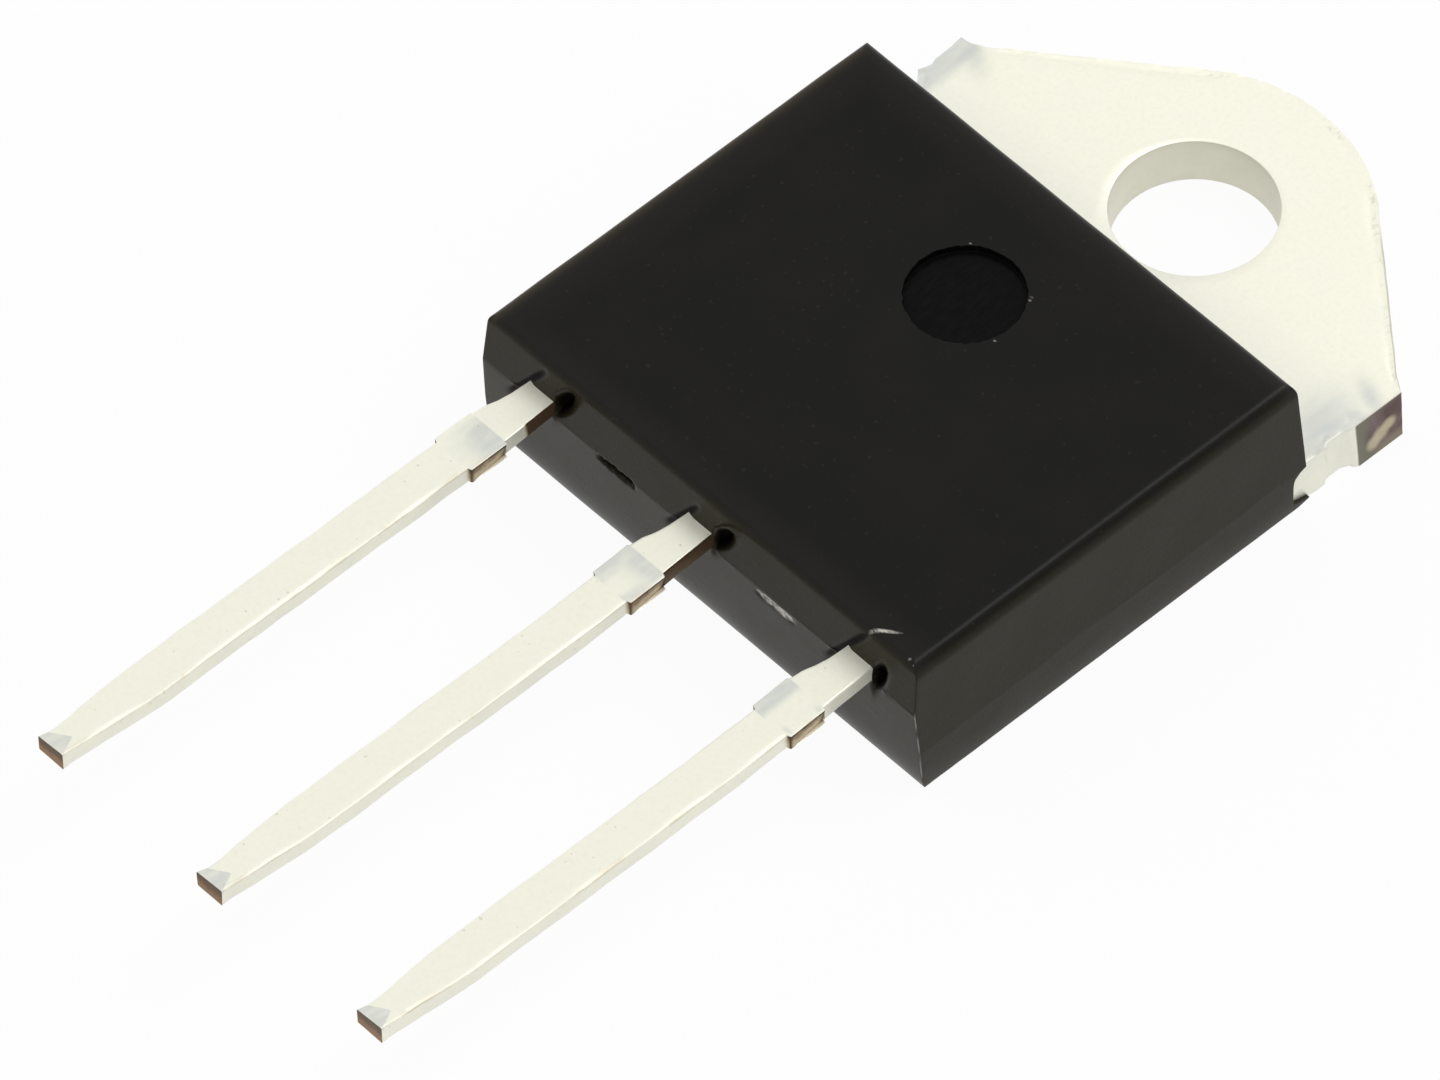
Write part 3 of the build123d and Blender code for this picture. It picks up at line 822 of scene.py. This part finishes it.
# courses along a lead: at these distances, this much drop, and for the right flank this much bare cut and
# painted shade
level = ([-40, 0], [0, 0])
joggle = ([-14.7, -13.8], [0, lead_bottom - pad_low[2]])
cut_and_shade_terminal_1 = ([-17.05, -16.95, -15.9, -15.8], [0, 1.9, 1.9, 0])
cut_and_shade_terminal_2 = ([-17.75, -17.68, -15.9, -15.8], [0, 1.7, 1.9, 0])
terminal_1 = make_lead("lead_terminal_1", -lead_pitch, outer_inner, terminal_sides, level, 0.01,
                       rub_terminal_1, cut_and_shade_terminal_1, 51)
terminal_2 = make_lead("lead_terminal_2", 0.0, middle_end, middle_sides, joggle, 0.06,
                       rub_terminal_2, cut_and_shade_terminal_2, 52)
gate = make_lead("lead_gate", lead_pitch, outer_inner, gate_sides, level, 0.075,
                 rub_gate, level, 53)

# %% [markdown]
# ## Materials
# Every finish is built from nodes. A few helpers keep that readable. The first adds a node and
# fills its inputs, and the others wrap the nodes used here: each takes outputs and gives one
# back, in the tree that its first output belongs to. All patterns read Object coordinates, so
# they stay on the part when it is looked at from another side.

# %% Adding nodes, and numbers between nodes


def feed(tree, socket, value):
    """Gives an input its value, or links it from an output."""
    if isinstance(value, bpy.types.NodeSocket):
        tree.links.new(value, socket)
    else:
        socket.default_value = value


def add(tree, kind, inputs=None, **settings):
    """Adds a node with these settings and inputs."""
    node = tree.nodes.new(kind)
    for name, value in settings.items():
        setattr(node, name, value)
    for name, value in (inputs or {}).items():
        feed(tree, node.inputs[name], value)
    return node


def combine(operation, value, *others):
    """Values joined one after the other through Math nodes."""
    for other in others:
        value = add(value.id_data, "ShaderNodeMath", {0: value, 1: other}, operation=operation).outputs[0]
    return value


def times(*values):
    """The product of values."""
    return combine("MULTIPLY", *values)


def plus(*values):
    """The sum of values."""
    return combine("ADD", *values)


def largest(*values):
    """The largest of values."""
    return combine("MAXIMUM", *values)


def ramp(value, low, high, new_low=0.0, new_high=1.0):
    """Value from low to high becomes new_low to new_high, and stays within them."""
    return add(value.id_data, "ShaderNodeMapRange", {
        "Value": value, "From Min": low, "From Max": high, "To Min": new_low, "To Max": new_high,
    }).outputs[0]


def ramp_mm(place, low, high, *new_range):
    """A ramp between two places on an axis, in millimetres."""
    return ramp(place, low * MM, high * MM, *new_range)


print("helpers for numbers are ready")

# %% [markdown]
# Patterns come from three sources: noise of a given size in millimetres, a soft oval patch at
# a place on the part, and the numbers that were stored on the points of the mesh.

# %% Patterns


def axes(where):
    """The three coordinates of a point, in metres."""
    return add(where.id_data, "ShaderNodeSeparateXYZ", {0: where}).outputs


def noise(where, size, detail=2.0, stretch=(1, 1, 1)):
    """Noise whose blots are about size millimetres wide, drawn out along each axis by stretch."""
    tree = where.id_data
    scale = [1 / (size * MM * factor) for factor in stretch]
    mapped = add(tree, "ShaderNodeMapping", {"Vector": where, "Scale": scale}).outputs[0]
    made = add(tree, "ShaderNodeTexNoise", {"Vector": mapped, "Scale": 1.0, "Detail": detail})
    return made.outputs["Fac"]


def patch(where, centre, half_size, turn=0.0, soft=0.5):
    """1 inside an oval at centre (mm), 0 outside it; soft is the share of it that fades."""
    mapped = add(where.id_data, "ShaderNodeMapping", {
        "Vector": where,
        "Location": [value * MM for value in centre],
        "Rotation": (0, 0, radians(turn)),
        "Scale": [value * MM for value in half_size],
    }, vector_type="TEXTURE").outputs[0]
    length = add(where.id_data, "ShaderNodeVectorMath", {0: mapped}, operation="LENGTH")
    return ramp(length.outputs["Value"], 1.0, 1.0 - soft)


def stored(where, name):
    """A number stored on the points of the piece."""
    return add(where.id_data, "ShaderNodeAttribute", attribute_name=name).outputs["Fac"]


def bump(height, depth, strength=1.0, under=None):
    """Surface relief: height 0 to 1 stands for depth millimetres."""
    inputs = {"Height": height, "Distance": depth * MM, "Strength": strength}
    if under is not None:
        inputs["Normal"] = under
    return add(height.id_data, "ShaderNodeBump", inputs).outputs[0]


print("helpers for patterns are ready")

# %% [markdown]
# Colours are laid over each other like paint: a base, then one layer after the other, each
# with a share that says where it is and an amount that says how well it covers.

# %% Colours, and a finished material


def blend(share, first, second):
    """Two colours mixed by share: the first at 0, the second at 1."""
    made = add(share.id_data, "ShaderNodeMix", {"Factor": share}, data_type="RGBA")
    for number, colour in ((6, first), (7, second)):
        opaque = (*colour, 1.0) if isinstance(colour, tuple) else colour
        feed(share.id_data, made.inputs[number], opaque)
    return made.outputs[2]


def layer(base, share, colour, amount=None):
    """A colour laid over base where share is 1."""
    return blend(share if amount is None else times(share, amount), base, colour)


def mottled(pattern, low, high, first, second):
    """The first colour where the pattern is under low, and the second where it is over high."""
    return blend(ramp(pattern, low, high), first, second)


def finish_with(name, build):
    """A material whose shader's inputs come from build(object coordinates)."""
    material = bpy.data.materials.new(name)
    material.use_nodes = True
    tree = material.node_tree
    shader = tree.nodes["Principled BSDF"]
    where = add(tree, "ShaderNodeTexCoord").outputs["Object"]
    for socket, value in build(where).items():
        feed(tree, shader.inputs[socket], value)
    print(name, "has", len(tree.nodes), "nodes")
    return material


# %% [markdown]
# ### Filled epoxy
# The compound is black with a faint brown cast, and paler along the margins of the marked
# face. That face is eroded in the tool and is dull, and the sides are smoother. Low down on
# the long sides, painted light from the white floor makes them paler. The stored number
# *hollow* is 1 in torn places, which are painted black as shade, since hardly any light gets
# in: black with a metal share has next to no shine, which a black plastic would keep. Scrapes
# and specks show the pale filler, and the upright corners in front get a painted highlight.

# %% Epoxy
pale_filler = (0.56, 0.54, 0.49)
chip_places = (2.48, torn_height - 0.06, 0.48), (2.95, torn_height - 0.08, 0.46)
speck_places = (
    (5.45, -15.96, 0.06), (7.05, -15.85, 0.06), (7.22, -15.90, 0.03),
    (1.13, -6.37, 0.06), (1.17, -6.46, 0.05), (1.49, -7.9, 0.05), (-1.07, -6.28, 0.05),
)


def marked_face(place, cloud):
    """Colour of the marked face: cloudy black, with paler margins and rims."""
    x, y = place["X"], place["Y"]
    base = mottled(cloud, 0.35, 0.7, (0.0064, 0.0061, 0.0056), (0.0092, 0.0087, 0.0078))
    margin = largest(ramp_mm(y, -5.0, -4.1), ramp_mm(y, -15.0, -15.9), ramp_mm(x, -6.0, -7.0))
    base = layer(base, margin, (0.0150, 0.0142, 0.0124), 0.7)
    base = layer(base, combine("POWER", ramp_mm(x, -6.85, -7.22), 3.0), (0.050, 0.042, 0.031))
    return layer(base, combine("POWER", ramp_mm(y, -4.25, -3.85), 2.0), (0.027, 0.026, 0.024))


def side_walls(place, grain):
    """Colour of the walls: brownish black, with painted light from the white floor that makes the two long
    sides paler low down.
    """
    x, z = place["X"], place["Z"]
    side = mottled(grain, 0.3, 0.7, (0.0165, 0.0145, 0.0062), (0.0205, 0.0178, 0.0082))
    # painted light from the white floor, low down on the two long sides
    painted_floor_light = ramp_mm(z, 0.55, 0.02)
    on_side = ramp(times(x, x), (7.25 * MM) ** 2, (7.40 * MM) ** 2)
    return layer(side, times(times(painted_floor_light, painted_floor_light), on_side), (0.052, 0.046, 0.036))


def bare_filler(where):
    """1 where filler shows: a broad chip in front, a scrape and a few specks on the face."""
    fibres = ramp(noise(where, 0.08, 3, (1.6, 1, 1)), 0.38, 0.58, 0.12, 1.0)
    shown = [
        patch(where, (x, body_low[1], z), (half, 0.3, 0.16), 0, 0.4) for x, z, half in chip_places
    ]
    shown.append(times(patch(where, (6.02, -15.74, body_top), (0.50, 0.066, 0.3), 37, 0.7), 1.05))
    for x, y, size in speck_places:
        speck = patch(where, (x, y, body_top), (size, 0.7 * size, 0.15), 20, 0.6)
        shown.append(times(speck, 0.40))
    return combine("MINIMUM", times(largest(*shown), fibres), 1.0)


def epoxy(where):
    """Colour, dullness and grain of the moulding."""
    cloud, grain, place = noise(where, 2.2, 3), noise(where, 0.09, 3), axes(where)
    hollow = stored(where, "hollow")
    base = layer(marked_face(place, cloud), stored(where, "upright"), side_walls(place, grain))
    base = layer(base, ramp(noise(where, 0.16, 1), 0.70, 0.76), (0.035, 0.034, 0.031), 0.3)
    # painted shade: torn places, pockets and scratches turn near black
    base = layer(base, hollow, (0.0030, 0.0020, 0.0010))
    base = layer(base, bare_filler(where), pale_filler)
    # painted highlight on the rounded upright corners in front
    base = layer(base, stored(where, "painted_corner_highlight"), (0.26, 0.25, 0.23), 0.9)
    dull = ramp(stored(where, "polish"), 0.0, 1.0, 0.62, 0.27)
    dull = plus(dull, ramp(cloud, 0.3, 0.7, -0.03, 0.04), times(hollow, 0.35))
    relief = bump(noise(where, 0.5, 2), 0.010, 0.35, bump(grain, 0.006, 0.45))
    return {
        "Base Color": base, "Roughness": dull, "Normal": relief,
        "Metallic": times(hollow, 0.9), "Specular IOR Level": 0.10,
    }


def pin_mark(where):
    """The ejector pin's mark: nearly black and polished, with faint turning lines."""
    lines = noise(where, 0.10, 2, (1, 4, 1))
    return {
        "Base Color": mottled(lines, 0.35, 0.65, (0.0022, 0.0022, 0.0023), (0.0042, 0.0041, 0.0040)),
        "Roughness": ramp(lines, 0.3, 0.7, 0.26, 0.34), "Normal": bump(lines, 0.003, 0.4),
        "Metallic": 0.0, "Specular IOR Level": 0.045,
    }


epoxy_material = finish_with("filled_epoxy", epoxy)
epoxy_body.data.materials.append(epoxy_material)
epoxy_body.data.materials.append(finish_with("pin_mark", pin_mark))

# %% [markdown]
# ### Plated and tinned copper
# Nickel on the tab and tin on the leads both look like warm, slightly dull silver, so one
# function makes both. Handling leaves soft clouds in it, and the tools leave grey rubbed
# fields; near the moulding the leads' roots get the same grey as a painted reflection of it.
# Where the stored cut number is 1 the cut shows copper.

# %% Plating
warm_silver, cool_silver = (0.915, 0.905, 0.770), (0.875, 0.872, 0.755)
# the grey of rubbed fields also paints the moulding's reflection on the leads' roots
fine_dirt, rubbed_and_reflected_grey = (0.74, 0.73, 0.62), (0.64, 0.66, 0.615)


def plating(where, cut, roughness):
    """Shader inputs of the plating, with rubbed fields and bare cuts laid over it."""
    cloud, fine = noise(where, 1.6, 3), noise(where, 0.12, 3)
    brushed = noise(where, 0.28, 3, (1, 3.5, 1))
    bare_and_shade = stored(where, "bare_and_shade")
    base = mottled(cloud, 0.3, 0.7, warm_silver, cool_silver)
    base = layer(base, ramp(fine, 0.45, 0.8, 0, 0.25), fine_dirt)
    # rubbed fields, and on the leads' roots a painted reflection of the moulding, in the same grey
    grey = times(stored(where, "rubbed_and_reflected"), ramp(brushed, 0.32, 0.62, 0.5, 1.0))
    base = layer(base, grey, rubbed_and_reflected_grey)
    base = layer(base, ramp(bare_and_shade, 0.0, 1.0), cut)
    dull = plus(ramp(cloud, 0.3, 0.7, roughness - 0.05, roughness + 0.07), times(bare_and_shade, 0.10))
    relief = bump(brushed, 0.005, 0.35, bump(fine, 0.004, 0.5))
    return {"Base Color": base, "Roughness": dull, "Normal": relief, "Metallic": 0.72}


print("silver from", warm_silver, "to", cool_silver)

# %% [markdown]
# The cut ends of the tie bars are tarnished violet inside an olive rim, with a light slanted
# scar where the metal broke. Darker broken runs lie along the burr, and the hole is a little
# greyer. The strip beside the moulding is greyer too: a painted reflection of the black moulding.

# %% Nickel on the tab
scar_places = (-1.34, 0.46, 0.28, 0.27), (-1.10, 0.60, 0.32, 0.28), (-0.82, 0.74, 0.30, 0.23)


def tie_bar_cut(where):
    """Colour of the tie bars' ends."""
    right_x, left_x = right_reach - 0.05, -left_reach
    violet = mottled(noise(where, 0.7, 3, (1.5, 1, 1)), 0.35, 0.65,
                     (0.115, 0.078, 0.070), (0.200, 0.150, 0.135))
    inside = largest(patch(where, (right_x, -0.86, 0.86), (0.6, 0.86, 0.86), 0, 0.3),
                     patch(where, (left_x, -0.9, 0.86), (0.6, 0.8, 0.8), 0, 0.3))
    stub = blend(inside, (0.150, 0.140, 0.085), violet)
    for y, z, half_y, half_z in scar_places:
        for x in (right_x, left_x):
            broken = patch(where, (x, y, z), (0.5, half_y, half_z), 0, 0.55)
            stub = layer(stub, broken, (0.55, 0.48, 0.33), 0.85)
    lower = patch(where, (right_reach, -0.75, 0.12), (0.4, 0.8, 0.3), 0, 0.7)
    return layer(stub, lower, (0.34, 0.29, 0.21), 0.5)


def tab_plating(where):
    """Nickel on the tab: grey rubbed fields at the tie bars, darker runs along the burr, and a painted
    reflection of the moulding beside it.
    """
    made = plating(where, tie_bar_cut(where), 0.46)
    speckle = ramp(noise(where, 0.11, 2, (1, 1.8, 1)), 0.52, 0.62)
    runs = ramp(noise(where, 0.9, 1), 0.46, 0.60)
    dark_runs = times(stored(where, "rim"), times(speckle, runs))
    base = layer(made["Base Color"], stored(where, "rubbed_and_reflected"), (0.53, 0.55, 0.53), 0.3)
    base = layer(base, dark_runs, (0.42, 0.39, 0.31), 0.42)
    base = layer(base, stored(where, "bored"), (0.56, 0.53, 0.42), 0.42)
    # painted reflection of the black moulding: the tab greys towards it
    base = layer(base, ramp_mm(axes(where)["Y"], -0.9, -2.2), (0.62, 0.63, 0.64), 0.18)
    return {**made, "Base Color": base}


plated_tab.data.materials.append(finish_with("nickel_plating", tab_plating))

# %% [markdown]
# On the leads a cut is dark where the blade entered and lighter below, where the metal broke;
# where the stored cut number is above 1, at the stubs' ends and on the roots' right flanks,
# painted shade makes it nearly black. The cut tips are browner than the stubs. A broken brown
# line along the rounded edge is partly worn tin and partly a painted reflection of the tent's
# dark opening.

# %% Tin on the leads


def copper_cut(where):
    """Colour of a cut face: a dark line at the top, then brown, then a light broken zone, and painted
    shade where the stored cut number is above 1.
    """
    wobble = ramp(noise(where, 0.22, 2, (1, 1, 0.6)), 0.3, 0.7, -0.14, 0.14)
    depth = plus(ramp_mm(axes(where)["Z"], lead_top, lead_bottom), wobble)
    at_end = stored(where, "end")
    colour = mottled(depth, 0.10, 0.30, (0.085, 0.062, 0.032), (0.30, 0.20, 0.10))
    colour = layer(colour, at_end, blend(depth, (0.095, 0.056, 0.025), (0.14, 0.075, 0.030)))
    broken = blend(at_end, (0.58, 0.49, 0.34), (0.26, 0.142, 0.058))
    colour = layer(colour, ramp(depth, 0.34, 0.70), broken)
    # painted shade: nearly black where the stored cut number is above 1
    return layer(colour, ramp(stored(where, "bare_and_shade"), 1.0, 1.9), (0.075, 0.038, 0.015))


def lead_plating(where):
    """Tin on a lead, with a broken brown line and dark specks along the rounded edge."""
    made = plating(where, copper_cut(where), 0.38)
    band = stored(where, "edge")
    # brown line along the rounded edge: partly worn tin, partly a painted reflection of the tent's dark
    # opening
    brown = times(ramp(band, 0.1, 0.75), ramp(noise(where, 0.35, 3, (1, 2.5, 1)), 0.50, 0.64))
    base = layer(made["Base Color"], brown, (0.62, 0.50, 0.34), 0.35)
    base = layer(base, ramp(noise(where, 0.14, 1), 0.74, 0.80), (0.40, 0.33, 0.22), 0.35)
    at_root = ramp_mm(axes(where)["Y"], -17.3, -16.3, 0.0, 0.22)
    dull = plus(made["Roughness"], times(band, 0.2), at_root)
    return {**made, "Base Color": base, "Roughness": dull, "Metallic": 0.5}


tin_material = finish_with("tinned_copper", lead_plating)
for piece in (terminal_1, terminal_2, gate):
    piece.data.materials.append(tin_material)

# %% [markdown]
# ### Inside the moulding
# Nobody sees these pieces until the part is cut open, but each is a real one and gets the
# finish that it has before moulding: white alumina with a sintered grain, a polished die with
# a frosted metal face, rolled copper clips with a thin tarnish, and grey solder that froze
# with a pebbled skin. They differ only in numbers, so a table says it all.

# %% Inner finishes
#   material, its nodes, pattern, pattern of the colour if it has its own, top of the colour's
#   ramp, its two colours, dullness, metallic share, depth and strength of the relief
inner_table = [
    ("sintered_alumina", ["ceramic_insulator"], (0.06, 3), None, 0.7,
     (0.83, 0.82, 0.79), (0.72, 0.71, 0.67), 0.55, 0.0, (0.004, 0.5)),
    ("polished_silicon", ["triac_die"], (0.3, 3), None, 0.65,
     (0.30, 0.31, 0.34), (0.42, 0.43, 0.45), (0.16, 0.34), 0.9, (0.002, 0.4)),
    ("rolled_copper", ["main_clip", "gate_clip"], (0.12, 2, (1, 12, 1)), (1.1, 3), 0.7,
     (0.78, 0.42, 0.27), (0.55, 0.27, 0.17), (0.28, 0.45), 1.0, (0.003, 0.5)),
    ("frozen_solder", [node for node in frame["nodes"] if node.endswith("_solder")], (0.18, 2), None,
     0.65, (0.52, 0.52, 0.51), (0.66, 0.66, 0.64), 0.42, 0.9, (0.01, 0.6)),
]


def dress(node, material):
    """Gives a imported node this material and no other."""
    frame["nodes"][node].data.materials.clear()
    frame["nodes"][node].data.materials.append(material)


def grained(grain, tint, high, first, second, dull, metallic, relief):
    """A rule for finish_with from one row of the table: one pattern makes relief and dullness,
    and the same or a second one makes the colour."""
    def build(where):
        """Shader inputs of this row."""
        pattern = noise(where, *grain)
        shade = noise(where, *tint) if tint else pattern
        return {
            "Base Color": mottled(shade, 0.35, high, first, second), "Metallic": metallic,
            "Roughness": ramp(pattern, 0.3, 0.7, *dull) if isinstance(dull, tuple) else dull,
            "Normal": bump(pattern, *relief),
        }
    return build


for name, nodes, *look in inner_table:
    material = finish_with(name, grained(*look))
    for node in nodes:
        dress(node, material)

# %% [markdown]
# ## Which piece stands for which node
# Nothing moves on a triac, so every piece rides on the one body. Each new surface replaces the
# imported node that it refines. The packed node gets the same material, so that it also looks
# right when it is shown by itself.

# %% Ride and replace
stands_for = {
    epoxy_body: ("moulded_body", "epoxy_moulding"),
    plated_tab: ("heatsink_tab", "plated_header"),
    terminal_1: ("main_terminal_1_lead", "tinned_leads"),
    terminal_2: ("main_terminal_2_lead", "tinned_leads"),
    gate: ("gate_lead", "tinned_leads"),
}
for piece, (node, slot) in stands_for.items():
    dress(node, piece.data.materials[0])
    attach(piece, "root")
    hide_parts(node)
    print(piece.name, "replaces", node)

# %% [markdown]
# ## Studio
# The part lies on a white surface under large soft lights, as in a light tent. The floor is
# pale, and what the camera and the reflections see of it is mixed with plain white, so that
# it stays white without more light on the part and still keeps the part's shadow.

# %% Floor
floor_half, floor_gap, floor_white = 0.6, 0.00002, 0.94    # metres, metres and a share


def seen_directly(tree):
    """1 for camera, glossy and transmission rays, and 0 for the light that falls on things."""
    path = add(tree, "ShaderNodeLightPath").outputs
    return largest(path["Is Camera Ray"], path["Is Glossy Ray"], path["Is Transmission Ray"])


floor_mesh = bpy.data.meshes.new("floor")
floor_corners = [(x * floor_half, y * floor_half, -floor_gap) for x, y in square.tolist()]
floor_mesh.from_pydata(floor_corners, [], [(0, 1, 2, 3)])
floor = bpy.data.objects.new("floor", floor_mesh)
bpy.context.scene.collection.objects.link(floor)

paper = bpy.data.materials.new("white_paper")
paper.use_nodes = True
tree = paper.node_tree
matt = tree.nodes["Principled BSDF"]
matt.inputs["Base Color"].default_value = (0.9, 0.9, 0.9, 1)
matt.inputs["Roughness"].default_value = 0.9
white = add(tree, "ShaderNodeEmission", {"Color": (1, 1, 1, 1), "Strength": 1.0})
amount = times(seen_directly(tree), floor_white)
mixed = add(tree, "ShaderNodeMixShader", {0: amount, 1: matt.outputs[0], 2: white.outputs[0]})
tree.links.new(mixed.outputs[0], tree.nodes["Material Output"].inputs["Surface"])
floor_mesh.materials.append(paper)
print("floor", 2 * floor_half, "m wide")

# %% [markdown]
# The sky does the same as the floor: it is white to look at, and gives an even, moderate
# light. The tent has an opening low on the right, which glossy edges show as a dark line.

# %% Sky
sky_level, opening_dark = 0.62, 0.5
opening_start, opening_full = radians(26), radians(11)     # from the middle of the opening
opening = np.array([0.87, 0.41, 0.25])
opening /= np.linalg.norm(opening)
world = bpy.data.worlds.new("light_tent")
world.use_nodes = True
bpy.context.scene.world = world
tree = world.node_tree
sky = tree.nodes["Background"]
sky.inputs["Color"].default_value = (1.0, 1.0, 1.0, 1)
strength = ramp(seen_directly(tree), 0.0, 1.0, sky_level, 1.0)
heading = add(tree, "ShaderNodeTexCoord").outputs["Generated"]
towards = {0: heading, 1: opening.tolist()}
alike = add(tree, "ShaderNodeVectorMath", towards, operation="DOT_PRODUCT").outputs["Value"]
dimmed = ramp(alike, cos(opening_start), cos(opening_full), 0.0, opening_dark)
in_gloss = add(tree, "ShaderNodeLightPath").outputs["Is Glossy Ray"]
strength = combine("SUBTRACT", strength, times(dimmed, in_gloss))
tree.links.new(strength, sky.inputs["Strength"])
print("sky has", len(tree.nodes), "nodes")

# %% [markdown]
# Two soft boxes give the light a direction: a broad one high behind the tab, which also draws
# a fine bright line on the upper edges, and a weaker one from the left.

# %% Lamps


def soft_box(name, direction, distance, size, radiance):
    """A square area lamp that looks at the part; its power follows from radiance and area."""
    lamp = bpy.data.lights.new(name, "AREA")
    lamp.size = size
    lamp.energy = radiance * np.pi * size ** 2
    holder = bpy.data.objects.new(name, lamp)
    aim = np.array(direction, dtype=float)
    aim /= np.linalg.norm(aim)
    side = np.cross([0, 0, 1], aim)
    side /= np.linalg.norm(side)
    turn_to = np.stack([side, np.cross(aim, side), aim], axis=1)
    holder.matrix_world = Matrix.Translation(aim * distance) @ Matrix(turn_to.tolist()).to_4x4()
    bpy.context.scene.collection.objects.link(holder)
    print(name, round(float(lamp.energy), 3), "W")


soft_box("high_box", (0.25, 0.42, 0.87), 0.55, 0.26, 4.0)
soft_box("left_box", (-0.8, -0.25, 0.5), 0.55, 0.25, 1.6)

# %% [markdown]
# ## Camera
# A long lens from high in front of the gate lead, as close-up product views are taken: the
# far view keeps parallel edges nearly parallel. Its place is worked out from the point that
# it looks at, two angles, a small roll and the distance.

# %% Place the camera
aim_point = np.array([0.03, -15.44, 2.2]) * MM
look_turn = radians(-48.80)      # from +Y, clockwise seen from above
look_down = radians(51.49)
roll = radians(-2.03)
distance = 0.4886                # metres
focal_length, sensor_width = 519.1, 36.0

forward = [sin(look_turn) * cos(look_down), cos(look_turn) * cos(look_down), -sin(look_down)]
forward = np.array(forward)
level_right = np.array([cos(look_turn), -sin(look_turn), 0.0])
level_up = np.cross(level_right, forward)
right = cos(roll) * level_right + sin(roll) * level_up
up = cos(roll) * level_up - sin(roll) * level_right
lens = bpy.data.cameras.new("close_up")
lens.lens = focal_length
lens.sensor_width = sensor_width
lens.clip_start = 0.05
lens.clip_end = 10.0
camera = bpy.data.objects.new("close_up", lens)
turned = Matrix(np.stack([right, up, -forward], axis=1).tolist()).to_4x4()
camera.matrix_world = Matrix.Translation(aim_point - forward * distance) @ turned
bpy.context.scene.collection.objects.link(camera)
bpy.context.scene.camera = camera
bpy.context.scene.view_settings.view_transform = "Standard"
print("camera at", [round(value, 4) for value in camera.matrix_world.translation])
